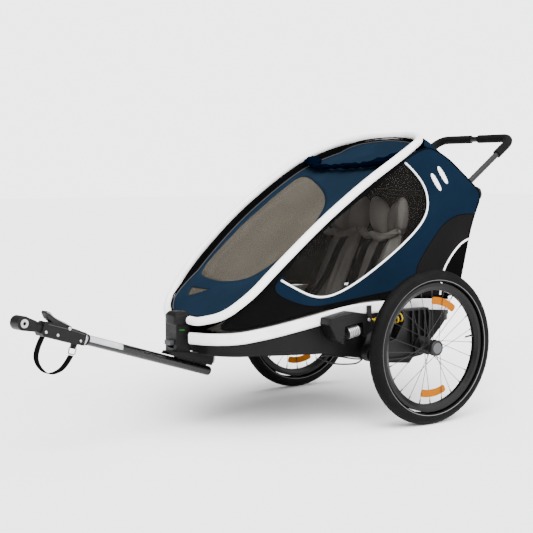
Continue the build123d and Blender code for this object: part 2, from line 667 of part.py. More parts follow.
hub_centre = (0, AXLE_LEVEL)
for name, side in SIDES.items():
    inner, outer = ARM_PLATE
    with BuildPart() as swing_arm:
        slab(ARM_WEB, inner, outer, side)
        disc_at(hub_centre, side, inner, outer, HUB_BOSS)
        disc_at(PIVOT, side, inner, outer, PIVOT_BOSS)
        with BuildSketch(side_plane(max(side * outer, side * (outer - POCKET_DEPTH)))) as pocket:
            with BuildLine():
                Polyline(*ARM_WEB, close=True)
            make_face()
            offset(amount=-6, kind=Kind.INTERSECTION)
            for spot, boss in ((hub_centre, HUB_BOSS), (PIVOT, PIVOT_BOSS)):
                with Locations(spot):
                    Circle(boss, mode=Mode.SUBTRACT)
            for rib in ARM_RIBS:
                with Locations((rib, 320)):
                    Rectangle(5, 120, mode=Mode.SUBTRACT)
        extrude(pocket.sketch, amount=POCKET_DEPTH, mode=Mode.SUBTRACT)
        disc_at(hub_centre, side, inner - 1, outer + 1, AXLE_DIAMETER / 2 + SLIP, Mode.SUBTRACT)
        disc_at(PIVOT, side, inner - 1, outer + 1, SPIGOT_DIAMETER / 2 + SLIP, Mode.SUBTRACT)
    save(swing_arm, f"swing_arm_{name}")

    with BuildPart() as axle:
        tip = TRACK / 2 + RECESS_FLOOR - GAP
        disc_at(hub_centre, side, inner - 6, tip, AXLE_DIAMETER / 2)
        disc_at(hub_centre, side, inner - 6, inner - GAP, 10)
        disc_at(hub_centre, side, tip - 40, tip, 2.7, Mode.SUBTRACT)
    save(axle, f"axle_{name}")

    bore = AXLE_DIAMETER / 2 + SLIP
    with BuildPart() as hub:
        turned(side, [
            (bore, -HUB_END), (14, -HUB_END), (14, -FLANGE - 1.5), (FLANGE_RADIUS, -FLANGE - 1.5),
            (FLANGE_RADIUS, -FLANGE + 1.5), (13, -FLANGE + 1.5), (13, FLANGE - 1.5),
            (FLANGE_RADIUS, FLANGE - 1.5), (FLANGE_RADIUS, FLANGE + 1.5), (20, FLANGE + 1.5), (20, 19.6),
            (CAP_RADIUS, 19.6), (CAP_RADIUS, CAP_FACE - 2), (CAP_RADIUS - 2, CAP_FACE), (18.5, CAP_FACE),
            (18.5, RECESS_FLOOR), (bore, RECESS_FLOOR),
        ])
    save(hub, f"hub_{name}")

    with BuildPart() as wheel_button:
        rest = TRACK / 2 + RECESS_FLOOR + BUTTON_TRAVEL + 0.5
        disc_at(hub_centre, side, rest, rest + 4, 17.5)
        disc_at(hub_centre, side, rest - 34, rest, 2.5)
    save(wheel_button, f"wheel_button_{name}")

    with BuildPart() as rim:
        turned(side, [
            (RIM_INNER, -6), (RIM_INNER, 6), (RIM_INNER + 13, RIM_HALF), (RIM_SEAT - 0.2, RIM_HALF),
            (RIM_SEAT - 0.2, RIM_HALF - 2), (RIM_INNER + 14, RIM_HALF - 2), (RIM_INNER + 3, 4),
            (RIM_INNER + 3, -4), (RIM_INNER + 14, 2 - RIM_HALF), (RIM_SEAT - 0.2, 2 - RIM_HALF),
            (RIM_SEAT - 0.2, -RIM_HALF), (RIM_INNER + 13, -RIM_HALF),
        ])
        stem_end = wheel_point(side, RIM_INNER - 32, VALVE_ANGLE, 0)
        round_bar(wheel_point(side, RIM_INNER - 0.2, VALVE_ANGLE, 0), stem_end, 3)
    save(rim, f"rim_{name}")

    with BuildPart() as tyre:
        middle = WHEEL_DIAMETER / 2 - TYRE_SECTION / 2
        with BuildSketch(wheel_plane(side)) as casing:
            with Locations((middle, 0)):
                Circle(TYRE_SECTION / 2)
                Circle(TYRE_SECTION / 2 - TYRE_WALL, mode=Mode.SUBTRACT)
            with Locations((RIM_SEAT - 10, 0)):
                Rectangle(20, TYRE_SECTION, mode=Mode.SUBTRACT)
        revolve(casing.sketch, axis=Axis(wheel_plane(side).origin, (0, 1, 0)))
    save(tyre, f"tyre_{name}")

    with BuildPart() as spokes:
        for number in range(SPOKES):
            angle = 360 / SPOKES * number
            flange_side = 1 if number % 2 else -1
            lead = 1 if number % 4 < 2 else -1
            out = flange_side * (FLANGE + (4 if lead > 0 else -2.9))
            start = wheel_point(side, SPOKE_HOLE, angle - lead * 60, out)
            end = wheel_point(side, RIM_INNER - 0.2, angle, flange_side)
            round_bar(start, end, SPOKE_DIAMETER / 2)
            nipple = Vector(*end) + (Vector(*start) - Vector(*end)).normalized() * 12
            round_bar(tuple(nipple), end, 2)
        with BuildSketch(wheel_plane(side)) as rim_room:
            with Locations((RIM_INNER + 9.8, 0)):
                Rectangle(20, 30)
        revolve(rim_room.sketch, axis=Axis(wheel_plane(side).origin, (0, 1, 0)), mode=Mode.SUBTRACT)
    save(spokes, f"spokes_{name}")

    with BuildPart() as spoke_reflectors:
        face = Plane(origin=at(0, side * TRACK / 2, AXLE_LEVEL), x_dir=(1, 0, 0), z_dir=(0, -1, 0))
        for angle in REFLECTOR_ANGLES:
            with BuildSketch(face) as bow:
                with BuildLine():
                    far = CenterArc((0, 0), REFLECTOR_RADIUS + 12, angle - 20, 40)
                    near = CenterArc((0, 0), REFLECTOR_RADIUS - 12, angle - 20, 40)
                    Line(far @ 0, near @ 0)
                    Line(far @ 1, near @ 1)
                make_face()
                fillet(bow.vertices(), 8)
            extrude(bow.sketch, amount=1, both=True)
    save(spoke_reflectors, f"spoke_reflectors_{name}")

# ---------------------------------------------------------------- tow arm
def arm_bar(start, end, radius, mode=Mode.ADD):
    """Adds a round bar along the tow arm's axis."""
    round_bar(arm_point(start), arm_point(end), radius, mode)


def arm_slab(outline, half, mode=Mode.ADD):
    """Adds an outline drawn along and above the tow tube, evenly about its middle."""
    with BuildSketch(arm_side(half)) as profile:
        with BuildLine():
            Polyline(*outline, close=True)
        make_face()
    extrude(profile.sketch, amount=2 * half, mode=mode)


with BuildPart() as tow_tube:
    arm_bar(0, ARM_LENGTH, ARM_DIAMETER / 2)
    arm_bar(0, ARM_LENGTH, ARM_DIAMETER / 2 - ARM_WALL, Mode.SUBTRACT)
save(tow_tube, "tow_tube")

with BuildPart() as tow_tube_plug:
    arm_bar(-7, -GAP, ARM_DIAMETER / 2)
    fillet(tow_tube_plug.edges().filter_by(GeomType.CIRCLE).sort_by_distance(arm_point(-60))[0], 4)
    arm_bar(-GAP, 18, ARM_DIAMETER / 2 - ARM_WALL - SLIP)
save(tow_tube_plug, "tow_tube_plug")

with BuildPart() as tow_saddle:
    with BuildSketch(Plane(origin=arm_point(14), x_dir=tow_arm.y_dir, z_dir=tow_arm.x_dir)) as tee:
        with Locations((0, 16.5)):
            Rectangle(SLOT_STEM, 8)
        with Locations((0, 22.5)):
            Rectangle(SLOT_HEAD, 5)
    extrude(tee.sketch, amount=130)
    arm_bar(0, 200, ARM_DIAMETER / 2 + SLIP, Mode.SUBTRACT)
save(tow_saddle, "tow_saddle")

BODY_START, BODY_END = 505, 652
with BuildPart() as hitch_body:
    arm_slab([(BODY_START, -19), (BODY_START, 17), (545, 21), (BODY_END - 8, 21), (BODY_END, 14),
              (BODY_END, -14), (BODY_END - 8, -21), (540, -21)], 19)
    arm_slab([(518, -18), (536, -18), (533, -34), (521, -34)], 5)
    arm_bar(BODY_START - 1, ARM_LENGTH + GAP, ARM_DIAMETER / 2 + SLIP, Mode.SUBTRACT)
    arm_bar(BODY_END - 32, BODY_END + 1, 9 + SLIP, Mode.SUBTRACT)
    arm_slab([(552, 7), (552, 30), (BODY_END + 1, 30), (BODY_END + 1, 15), (582, 15), (582, 7)], 11.5,
             Mode.SUBTRACT)
    round_bar(arm_point(527, -6, -28), arm_point(527, 6, -28), 2.5, Mode.SUBTRACT)
    round_bar(arm_point(566, -14, 18), arm_point(566, 14, 18), 2.5)
save(hitch_body, "hitch_body")

with BuildPart() as hitch_lever:
    arm_slab([(556, 16.5), (556, 25), (580, 31), (620, 38), (638, 48), (650, 49), (652, 43), (640, 30),
              (625, 24), (616, 16.5)], 11)
    round_bar(arm_point(566, -12, 18), arm_point(566, 12, 18), 2.5 + SLIP, Mode.SUBTRACT)
save(hitch_lever, "hitch_lever")

EYE_AT = 716
with BuildPart() as hitch_head:
    arm_bar(BODY_END - 30, BODY_END + GAP, 9)
    arm_bar(BODY_END + GAP, 690, 14)
    arm_slab([(676, -15), (676, 15), (EYE_AT, 20), (EYE_AT, -20)], 17)
    round_bar(arm_point(EYE_AT, -20), arm_point(EYE_AT, 20), 20)
    round_bar(arm_point(EYE_AT, -24), arm_point(EYE_AT, 24), HITCH_BORE / 2, Mode.SUBTRACT)
save(hitch_head, "hitch_head")

with BuildPart() as hitch_washers:
    for side in SIDES.values():
        round_bar(arm_point(EYE_AT, side * (20 + GAP)), arm_point(EYE_AT, side * 22.3), 12)
    round_bar(arm_point(EYE_AT, -24), arm_point(EYE_AT, 24), HITCH_BORE / 2, Mode.SUBTRACT)
save(hitch_washers, "hitch_washers")

RING_AT = (527, -28)
RING_DROP = 22
with BuildPart() as d_ring:
    across = Plane(origin=arm_point(RING_AT[0]), x_dir=tow_arm.y_dir, z_dir=tow_arm.x_dir)
    low = RING_AT[1] - RING_DROP
    with BuildLine(across) as ring:
        FilletPolyline((-16, RING_AT[1]), (16, RING_AT[1]), (16, low), (-16, low), radius=7, close=True)
    with BuildSketch(Plane(origin=ring.line @ 0, z_dir=ring.line % 0)) as wire:
        Circle(2)
    sweep(wire.sketch, path=ring.line)
save(d_ring, "d_ring")

STRAP_ROUTE = [
    (636, -21.6),
    (647, -66),
    (630, -101),
    (590, -121),
    (554, -105),
    (536, -80),
    (527.5, -53.4),
]
with BuildPart() as safety_strap:
    with BuildLine(arm_side(0)) as route:
        FilletPolyline(*STRAP_ROUTE, radius=turn_radii(STRAP_ROUTE))
    with BuildSketch(Plane(origin=route.line @ 0, x_dir=tow_arm.y_dir, z_dir=route.line % 0)) as webbing:
        Rectangle(STRAP_WIDTH, STRAP_THICKNESS)
    sweep(webbing.sketch, path=route.line)
save(safety_strap, "safety_strap")
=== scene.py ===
"""Looks of the two-seat child bicycle trailer: fabric, film, straps, tyres and materials."""

import json
from math import cos, hypot, pi, radians, sin

import bmesh
import bpy
import numpy as np
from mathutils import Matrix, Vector
from mathutils.geometry import delaunay_2d_cdt

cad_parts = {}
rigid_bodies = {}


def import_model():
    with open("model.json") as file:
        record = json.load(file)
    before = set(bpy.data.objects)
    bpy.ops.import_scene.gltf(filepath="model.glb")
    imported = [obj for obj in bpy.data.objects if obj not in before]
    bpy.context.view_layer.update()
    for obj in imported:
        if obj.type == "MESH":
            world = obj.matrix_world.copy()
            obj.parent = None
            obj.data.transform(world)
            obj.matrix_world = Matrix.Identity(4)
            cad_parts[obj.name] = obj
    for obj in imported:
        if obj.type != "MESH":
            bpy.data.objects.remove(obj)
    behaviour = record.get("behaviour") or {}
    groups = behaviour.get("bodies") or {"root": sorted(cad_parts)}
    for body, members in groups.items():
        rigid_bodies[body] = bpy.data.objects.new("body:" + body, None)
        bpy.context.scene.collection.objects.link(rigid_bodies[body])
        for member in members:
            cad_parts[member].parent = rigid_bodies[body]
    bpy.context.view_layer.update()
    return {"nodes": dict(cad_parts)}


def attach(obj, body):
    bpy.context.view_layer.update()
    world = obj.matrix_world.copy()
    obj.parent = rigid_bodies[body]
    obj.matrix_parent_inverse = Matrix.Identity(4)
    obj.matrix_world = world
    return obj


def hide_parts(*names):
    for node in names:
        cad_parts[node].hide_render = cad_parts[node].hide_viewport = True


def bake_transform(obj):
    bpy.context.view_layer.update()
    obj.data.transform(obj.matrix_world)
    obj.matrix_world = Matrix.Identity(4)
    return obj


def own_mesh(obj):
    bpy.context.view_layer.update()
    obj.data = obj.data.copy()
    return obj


# the default scene's own objects
for leftover in list(bpy.data.objects):
    bpy.data.objects.remove(leftover)
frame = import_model()
scene = bpy.context.scene
nodes = frame["nodes"]

# sizes in metres, in the trailer's frame
AXLE_X, AXLE_Z = -0.376, 0.25
SIDES = {"left": 1, "right": -1}
WHEEL_FROM_MIDDLE = 0.370
CLOTH_THICK, FILM_THICK, REFLECTIVE_THICK = 0.0014, 0.0006, 0.0005
CABLE_THICK, STRAP_WIDE, STRAP_THICK = 0.005, 0.025, 0.0018
PIPING_RADIUS, BINDING_RADIUS, SEAM_RADIUS = 0.0032, 0.0022, 0.0011
COVER_DEPTH = 0.027
SHADE_DROP = Vector((-0.010, 0, -0.020))
SEAT_MIDDLE = 0.108
TUBE_RADIUS_MM = 15.25
SETTLE_FRAMES = 16


def ahead(x, y, z):
    """A point given ahead of the axle, in the trailer's frame."""
    return Vector((AXLE_X + x, y, z))


# ---- camera
camera = bpy.data.objects.new("camera", bpy.data.cameras.new("camera"))
scene.collection.objects.link(camera)
camera.data.lens = 71.36
camera.data.sensor_width = 36
look = Vector((-0.5541, -0.8279, -0.0874))
camera.location = ahead(2.30424, 2.8631, 0.80378)
camera.rotation_euler = look.to_track_quat("-Z", "Y").to_euler()
scene.camera = camera


# ---- shader helpers
class Val:
    """A node's socket. An expression on values adds its Math nodes."""

    def __init__(self, maker, socket):
        self.maker, self.socket = maker, socket

    def maths(self, operation, *values):
        return self.maker.node("ShaderNodeMath", {"operation": operation}, dict(enumerate(values)))

    def __add__(self, other): return self.maths("ADD", self, other)
    def __sub__(self, other): return self.maths("SUBTRACT", self, other)
    def __rsub__(self, other): return self.maths("SUBTRACT", other, self)
    def __mul__(self, other): return self.maths("MULTIPLY", self, other)
    def __pow__(self, other): return self.maths("POWER", self, other)
    def __rpow__(self, other): return self.maths("POWER", other, self)
    def __abs__(self): return self.maths("ABSOLUTE", self)
    def sine(self): return self.maths("SINE", self)
    __radd__, __rmul__ = __add__, __mul__

    def ramp(self, low, high):
        """A soft step from 0 at low to 1 at high."""
        return self.maker.node("ShaderNodeMapRange", {"interpolation_type": "SMOOTHSTEP"},
                               {0: self, 1: low, 2: high})


class Nodes:
    """The nodes of one shader tree."""

    def __init__(self, tree):
        self.tree = tree

    def node(self, kind, settings, sockets, out=0):
        """Adds a node: its settings first, then the value or the link of each socket."""
        made = self.tree.nodes.new(kind)
        for key, value in settings.items():
            setattr(made, key, value)
        for key, value in sockets.items():
            if isinstance(value, Val):
                self.tree.links.new(value.socket, made.inputs[key])
            else:
                made.inputs[key].default_value = value
        return Val(self, made.outputs[out])


class Mat(Nodes):
    """A material on the principled shader, with short calls for what varies over it."""

    def __init__(self, name, colour, roughness, **fixed):
        self.material = bpy.data.materials.new(name)
        self.material.use_nodes = True
        super().__init__(self.material.node_tree)
        self.shader = self.tree.nodes["Principled BSDF"]
        self.shader.inputs["Base Color"].default_value = (*colour, 1)
        self.shader.inputs["Roughness"].default_value = roughness
        for key, value in fixed.items():
            self.shader.inputs[key.replace("_", " ")].default_value = value
        self.place = self.node("ShaderNodeTexCoord", {}, {}, "Object")
        split = self.node("ShaderNodeSeparateXYZ", {}, {0: self.place}).socket.node
        self.x, self.y, self.z = (Val(self, socket) for socket in split.outputs)

    def noise(self, scale, detail=3, stretch=None):
        place = self.place
        if stretch:
            place = self.node("ShaderNodeMapping", {}, {"Vector": place, "Scale": stretch})
        return self.node("ShaderNodeTexNoise", {}, {"Vector": place, "Scale": scale, "Detail": detail})

    def cells(self, scale):
        return self.node("ShaderNodeTexVoronoi", {}, {"Vector": self.place, "Scale": scale}, "Distance")

    def mix(self, factor, first, second):
        """A colour between two others."""
        first, second = ((*tone, 1) if isinstance(tone, tuple) else tone for tone in (first, second))
        return self.node("ShaderNodeMix", {"data_type": "RGBA"}, {0: factor, 6: first, 7: second}, 2)

    def set(self, name, value):
        self.tree.links.new(value.socket, self.shader.inputs[name])

    def bump(self, height, depth, soft=0.0):
        """Relief over the surface, and edges softened over a small radius."""
        sockets = {"Strength": 1.0, "Distance": depth, "Height": height}
        if soft:
            sockets["Normal"] = self.node("ShaderNodeBevel", {"samples": 4}, {"Radius": soft})
        self.set("Normal", self.node("ShaderNodeBump", {}, sockets))


def shade(colour, factor):
    return tuple(c * factor for c in colour)


def waves(first, second, turn):
    """Two crossing rows of waves, from 0 to 1."""
    return (first * turn).sine() * (second * turn).sine() * 0.5 + 0.5


def cloth(name, colour, axes="xz", thread=0.0011, depth=0.00004, wear=0.12, folds=0.0, rough=0.82):
    """Woven cloth: two crossing threads, slow colour changes and a little dust."""
    mat = Mat(name, colour, rough, Specular_IOR_Level=0.0)
    weave = waves(*(getattr(mat, axis) for axis in axes), 2 * pi / thread)
    slow = mat.noise(7, 4)
    fine = mat.noise(900, 2)
    tone = mat.mix(slow.ramp(0.3, 0.75), shade(colour, 1 - wear), shade(colour, 1 + wear))
    mat.set("Base Color", mat.mix(weave * 0.22 + fine * 0.2, tone, shade(colour, 0.72)))
    mat.set("Roughness", slow * 0.12 + (rough - 0.06))
    height = weave + fine * 0.3
    if folds:
        height = height + mat.noise(14, 3, (1, 1, 0.5)) * (folds / depth)
    mat.bump(height, depth)
    return mat.material


def plastic(name, colour, rough=0.5, grain=0.00009, soft=0.0012):
    """Moulded plastic: fine spark texture, softened edges and slight handling marks."""
    mat = Mat(name, colour, rough, Specular_IOR_Level=0.12)
    marks = mat.noise(28, 5)
    mat.set("Base Color", mat.mix(marks.ramp(0.45, 0.8), colour, shade(colour, 1.35)))
    mat.set("Roughness", marks * 0.22 + (rough - 0.1))
    mat.bump(mat.cells(1500) + mat.noise(300, 2) * 0.5, grain, soft=soft)
    return mat.material


def metal(name, colour, rough=0.3, brushed=None, soft=0.0008, metallic=1.0, coat=0.0):
    """Metal or hard paint over it, with drawn lines, smudges and softened edges."""
    mat = Mat(name, colour, rough, Metallic=metallic, Coat_Weight=coat, Coat_Roughness=0.12,
              Specular_IOR_Level=0.2)
    lines = mat.noise(220, 4, brushed)
    smudge = mat.noise(16, 4)
    mat.set("Base Color", mat.mix(smudge.ramp(0.4, 0.8), colour, shade(colour, 0.82)))
    mat.set("Roughness", lines * 0.12 + smudge * 0.12 + (rough - 0.1))
    mat.bump(lines, 0.00004, soft=soft)
    return mat.material


def film(name, colour, alpha, rough=0.22):
    """Smoked window film over a fine net."""
    mat = Mat(name, colour, rough, Coat_Weight=0.04, Coat_Roughness=0.12, Specular_IOR_Level=0.0)
    net = waves(mat.x, mat.z, 2 * pi / 0.0016)
    slow = mat.noise(6, 4, (1, 1, 0.6))
    mat.set("Base Color", mat.mix(slow.ramp(0.3, 0.7), shade(colour, 0.85), shade(colour, 1.2)))
    mat.set("Alpha", net * 0.03 + slow * 0.08 + (alpha - 0.05))
    mat.set("Roughness", slow * 0.15 + (rough - 0.06))
    mat.bump(mat.noise(9, 3, (1, 1, 0.5)), 0.004)
    return mat.material


BLUE = (0.0034, 0.0086, 0.0178)
COVER_BLUE = (0.0062, 0.0130, 0.0235)
CHARCOAL = (0.0030, 0.0030, 0.0032)
GREY = (0.0070, 0.0066, 0.0066)
WHITE = (0.88, 0.86, 0.865)
SEAT_GREY = (0.380, 0.355, 0.325)

m_blue = cloth("cloth_side_blue", BLUE, "xz", folds=0.0006)
m_cover = cloth("cloth_cover_blue", COVER_BLUE, "xy", folds=0.0006, rough=0.6)
m_charcoal = cloth("cloth_charcoal", CHARCOAL, "xz", thread=0.0014, folds=0.0008)
m_black = cloth("cloth_black_lower", (0.0022, 0.0022, 0.0024), "xz", thread=0.0014, folds=0.001)
m_grey = cloth("cloth_rear_grey", GREY, "xz", thread=0.0018)
m_hood = cloth("cloth_hood_blue", BLUE, "xy", folds=0.0006)
m_rear = cloth("cloth_rear_black", CHARCOAL, "yz", thread=0.0016, folds=0.0008)
m_shade = cloth("cloth_sunshade", (0.0006, 0.0020, 0.0062), "xy", folds=0.001)
m_seat = cloth("cloth_seat", SEAT_GREY, "yz", thread=0.0016, depth=0.00005, wear=0.2, folds=0.0015)
m_seat_base = cloth("cloth_seat_base", SEAT_GREY, "xy", thread=0.0016, depth=0.00005, wear=0.2,
                    folds=0.0015)
m_piping = cloth("piping_white", WHITE, "xz", thread=0.002, depth=0.00004, wear=0.04)
m_webbing = cloth("webbing_black", (0.0035, 0.0035, 0.0038), "xz", thread=0.0022, depth=0.00008)
m_film_side = film("film_side", (0.0085, 0.0077, 0.0068), 0.36)
m_film_front = film("film_front", (0.046, 0.040, 0.031), 0.86, 0.5)


def sleeve_white():
    """White woven sleeve, a little marked by use."""
    mat = Mat("sleeve_white", WHITE, 0.6, Sheen_Weight=0.1)
    weave = waves(mat.x, mat.z, 4200)
    slow = mat.noise(9, 4)
    mat.set("Base Color", mat.mix(slow.ramp(0.45, 0.85), WHITE, shade(WHITE, 0.9)))
    mat.set("Roughness", slow * 0.2 + 0.5)
    mat.bump(weave + mat.noise(60, 2) * 2, 0.00012)
    return mat.material


m_sleeve = sleeve_white()
m_rail = metal("rail_white", (0.80, 0.785, 0.79), 0.42, metallic=0.0, soft=0.002)
m_tub = plastic("tub_black", (0.0014, 0.0014, 0.0015), 0.5, soft=0.004)
m_housing = plastic("housing_black", (0.0020, 0.0020, 0.0021), 0.4, soft=0.003)
m_receiver = plastic("receiver_black", (0.0026, 0.0026, 0.0026), 0.5, grain=0.0002, soft=0.004)
m_tab = plastic("tab_grey", (0.030, 0.032, 0.034), 0.4, soft=0.002)
m_lever = plastic("lever_grey", (0.008, 0.008, 0.0085), 0.42, soft=0.0015)
m_hitch = plastic("hitch_black", (0.0035, 0.0035, 0.0037), 0.42, soft=0.0015)
m_grip = plastic("grip_foam", (0.0014, 0.0014, 0.0014), 0.85, grain=0.00015, soft=0.001)
m_steel = metal("steel_bright", (0.40, 0.40, 0.41), 0.28)
m_pin_steel = metal("steel_turned", (0.16, 0.165, 0.17), 0.32, (1, 0.1, 1))
m_dark_tube = metal("tube_dark", (0.0022, 0.0022, 0.0024), 0.42, metallic=0.0, coat=0.05)
m_tow = metal("tow_gloss", (0.0016, 0.0016, 0.0017), 0.24, metallic=0.0, coat=0.25)
m_arm = metal("arm_black", (0.0018, 0.0018, 0.0019), 0.42, metallic=0.0, soft=0.002)
m_spring = metal("spring_yellow", (0.46, 0.30, 0.002), 0.36, metallic=0.0, coat=0.15)
m_hub = metal("hub_black", (0.006, 0.006, 0.0063), 0.40, metallic=0.0, soft=0.0012)
m_cap = metal("axle_cap_grey", (0.070, 0.072, 0.075), 0.40, metallic=0.5)
m_spoke = metal("spoke_dark", (0.030, 0.030, 0.031), 0.34, soft=0.0)
m_cable = plastic("cable_black", (0.005, 0.005, 0.0055), 0.4, soft=0.0)


def ribbed_dial():
    """Silver knob with fine ribs around it, with painted shade in the grooves between the ribs and a painted
    highlight on their crests.
    """
    mat = Mat("dial_silver", (0.34, 0.34, 0.335), 0.25, Metallic=0.85)
    rib = ((mat.x * 0.985 - mat.z * 0.172) * 940).sine() * 0.5 + 0.5
    # painted shade and painted highlight: the base colour is dark in each rib's groove and bright on its
    # crest
    mat.set("Base Color", mat.mix(rib.ramp(0.25, 0.7), (0.07, 0.07, 0.07), (0.52, 0.52, 0.515)))
    mat.set("Roughness", mat.noise(60, 3) * 0.2 + 0.2)
    mat.bump(rib + mat.noise(200, 2) * 0.1, 0.0008, soft=0.001)
    return mat.material


def reflector_amber_painted_glow():
    """Amber reflector with a moulded grid of prisms and a faint painted glow, where its emission stands in
    for lamp light sent back by the prisms.
    """
    mat = Mat("reflector_amber_painted_glow", (0.26, 0.085, 0.0002), 0.34, Specular_IOR_Level=0.03,
              Emission_Strength=0.02)
    grid = (mat.x * 2100).sine() * (mat.z * 2100).sine()
    tone = mat.mix(grid * 0.5 + 0.5, (0.30, 0.095, 0.0001), (0.18, 0.048, 0.0001))
    mat.set("Base Color", tone)
    # painted glow: the reflector emits its own amber light, though it is no lamp
    mat.set("Emission Color", tone)
    mat.bump(grid, 0.0001, soft=0.0008)
    return mat.material


def wheel_radius(mat):
    """Distance from the axle's centre line, for a shader."""
    forward, up = mat.x - AXLE_X, mat.z - AXLE_Z
    return (forward * forward + up * up) ** 0.5


def rubber_tyre():
    """Black rubber with a fine light stripe and moulded rings on the side wall."""
    mat = Mat("tyre_rubber", (0.004, 0.004, 0.0042), 0.6, Specular_IOR_Level=0.05)
    radius = wheel_radius(mat)
    stripe = abs(radius - 0.2175).ramp(0.0011, 0.0006)
    dust = mat.noise(30, 4)
    base = mat.mix(dust.ramp(0.35, 0.8), (0.0019, 0.0019, 0.0020), (0.0040, 0.0040, 0.0042))
    mat.set("Base Color", mat.mix(stripe, base, (0.12, 0.12, 0.125)))
    mat.set("Roughness", dust * 0.25 + 0.5)
    rings = (radius * 2600).sine() * 0.3
    mat.bump(rings + mat.noise(700, 2) * 0.6, 0.00018)
    return mat.material


def rim_black():
    """Black rim with a turned side face."""
    mat = Mat("rim_black", (0.0016, 0.0016, 0.0017), 0.36, Coat_Weight=0.05, Specular_IOR_Level=0.12)
    radius = wheel_radius(mat)
    smudge = mat.noise(20, 4)
    mat.set("Roughness", smudge * 0.2 + 0.22)
    mat.bump((radius * 9000).sine() * 0.4 + smudge, 0.00005, soft=0.001)
    return mat.material


m_dial, m_reflector, m_tyre, m_rim = ribbed_dial(), reflector_amber_painted_glow(), rubber_tyre(), rim_black()


# ---- shape helpers
def fit(obj, body, stands_for=None):
    """Rides a piece on its body, in place of the plain part that it stands for."""
    if stands_for:
        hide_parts(stands_for)
    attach(obj, body)


def curve(points, closed=False, per=10):
    """Points along a smooth line that rounds the corners of a route."""
    p = [np.array(q, float) for q in points]
    n = len(p)
    out = []
    if not closed:
        out.append(p[0])
    for i in (range(n) if closed else range(1, n - 1)):
        a, b, c = p[i - 1], p[i], p[(i + 1) % n]
        start = (a + b) / 2 if closed or i > 1 else a
        end = (b + c) / 2 if closed or i < n - 2 else c
        for t in np.linspace(0, 1, per, endpoint=False) + 1 / per:
            out.append((1 - t) ** 2 * start + 2 * t * (1 - t) * b + t * t * end)
    return np.array(out)


def even(line, step, closed=False):
    """The same line with evenly spaced points."""
    line = np.asarray(line, float)
    if closed:
        line = np.vstack([line, line[:1]])
    run = np.concatenate([[0], np.cumsum(np.linalg.norm(np.diff(line, axis=0), axis=1))])
    count = max(3, int(round(run[-1] / step)))
    places = np.linspace(0, run[-1], count + 1)
    if closed:
        places = places[:-1]
    return np.column_stack([np.interp(places, run, line[:, k]) for k in range(line.shape[1])])


def piece(name, verts, faces, material, smooth=True, indices=None):
    """A mesh piece from its points and faces."""
    mesh = bpy.data.meshes.new(name)
    mesh.from_pydata([tuple(map(float, v)) for v in verts], [], [tuple(map(int, f)) for f in faces])
    mesh.update()
    obj = bpy.data.objects.new(name, mesh)
    scene.collection.objects.link(obj)
    for item in (material if isinstance(material, (list, tuple)) else [material]):
        mesh.materials.append(item)
    mesh.polygons.foreach_set("use_smooth", [smooth] * len(mesh.polygons))
    if indices is not None:
        mesh.polygons.foreach_set("material_index", [int(i) for i in indices])
    return obj


def apply_modifiers(obj):
    """Bakes the piece's modifiers into its mesh."""
    graph = bpy.context.evaluated_depsgraph_get()
    mesh = bpy.data.meshes.new_from_object(obj.evaluated_get(graph))
    obj.modifiers.clear()
    obj.data = mesh
    return obj


def thicken(obj, thickness):
    """Gives a sheet its thickness."""
    modifier = obj.modifiers.new("thickness", "SOLIDIFY")
    modifier.thickness, modifier.offset = thickness, -1
    return apply_modifiers(obj)


def turn_outward(obj):
    """Drops stray points and turns every face outward."""
    work = bmesh.new()
    work.from_mesh(obj.data)
    bmesh.ops.delete(work, geom=[v for v in work.verts if not v.link_faces], context="VERTS")
    bmesh.ops.recalc_face_normals(work, faces=work.faces)
    work.to_mesh(obj.data)
    work.free()
    return obj


def grid_faces(rows, columns, across=True, along=False):
    """Faces over rows of points. Across closes each row on itself, along joins the last to the first."""
    return [(i * columns + j, i * columns + (j + 1) % columns,
             (i + 1) % rows * columns + (j + 1) % columns, (i + 1) % rows * columns + j)
            for i in range(rows if along else rows - 1) for j in range(columns if across else columns - 1)]


def inside(points, loop):
    """Which points lie inside a closed loop."""
    points, loop = np.asarray(points, float), np.asarray(loop, float)
    x, y = points[:, 0], points[:, 1]
    hit = np.zeros(len(points), bool)
    for (x1, y1), (x2, y2) in zip(loop, np.roll(loop, -1, axis=0)):
        crosses = (y1 > y) != (y2 > y)
        with np.errstate(divide="ignore", invalid="ignore"):
            hit ^= crosses & (x < (x2 - x1) * (y - y1) / (y2 - y1) + x1)
    return hit


def panel(name, outline, surface, zones, materials, holes=(), step=0.011, thickness=CLOTH_THICK):
    """A sheet cut to an outline, laid on a surface, with sewn zones of other cloth."""
    loops = [even(loop, step * 0.6, True) for loop in (outline, *holes)]
    loops += [even(loop, step * 0.6, True) for loop, _ in zones]
    points, edges = [], []
    for loop in loops:
        first = len(points)
        points += [tuple(p) for p in loop]
        edges += [(first + i, first + (i + 1) % len(loop)) for i in range(len(loop))]
    low, high = loops[0].min(axis=0), loops[0].max(axis=0)
    grid = np.array([(x, y) for x in np.arange(low[0], high[0], step)
                     for y in np.arange(low[1], high[1], step)])
    border = np.array(points)
    grid = grid[inside(grid, loops[0])]
    near = np.array([np.min(np.hypot(*(border - g).T)) for g in grid])
    points += [tuple(g) for g in grid[near > step * 0.5]]
    made = delaunay_2d_cdt([Vector(p) for p in points], edges, [], 0, 1e-7)
    flat, faces = np.array([tuple(v) for v in made[0]]), [tuple(f) for f in made[2]]
    middles = np.array([flat[list(f)].mean(axis=0) for f in faces])
    used = inside(middles, loops[0])
    for loop in loops[1:1 + len(holes)]:
        used &= ~inside(middles, loop)
    index = np.zeros(len(faces), int)
    for (loop, which) in zones:
        index[inside(middles, even(loop, step * 0.6, True))] = which
    faces = [f for f, ok in zip(faces, used) if ok]
    spots = [surface(*p) for p in flat]
    obj = turn_outward(piece(name, spots, faces, materials, indices=index[used]))
    obj.data.polygons.foreach_set("use_smooth", [True] * len(obj.data.polygons))
    return thicken(obj, thickness)


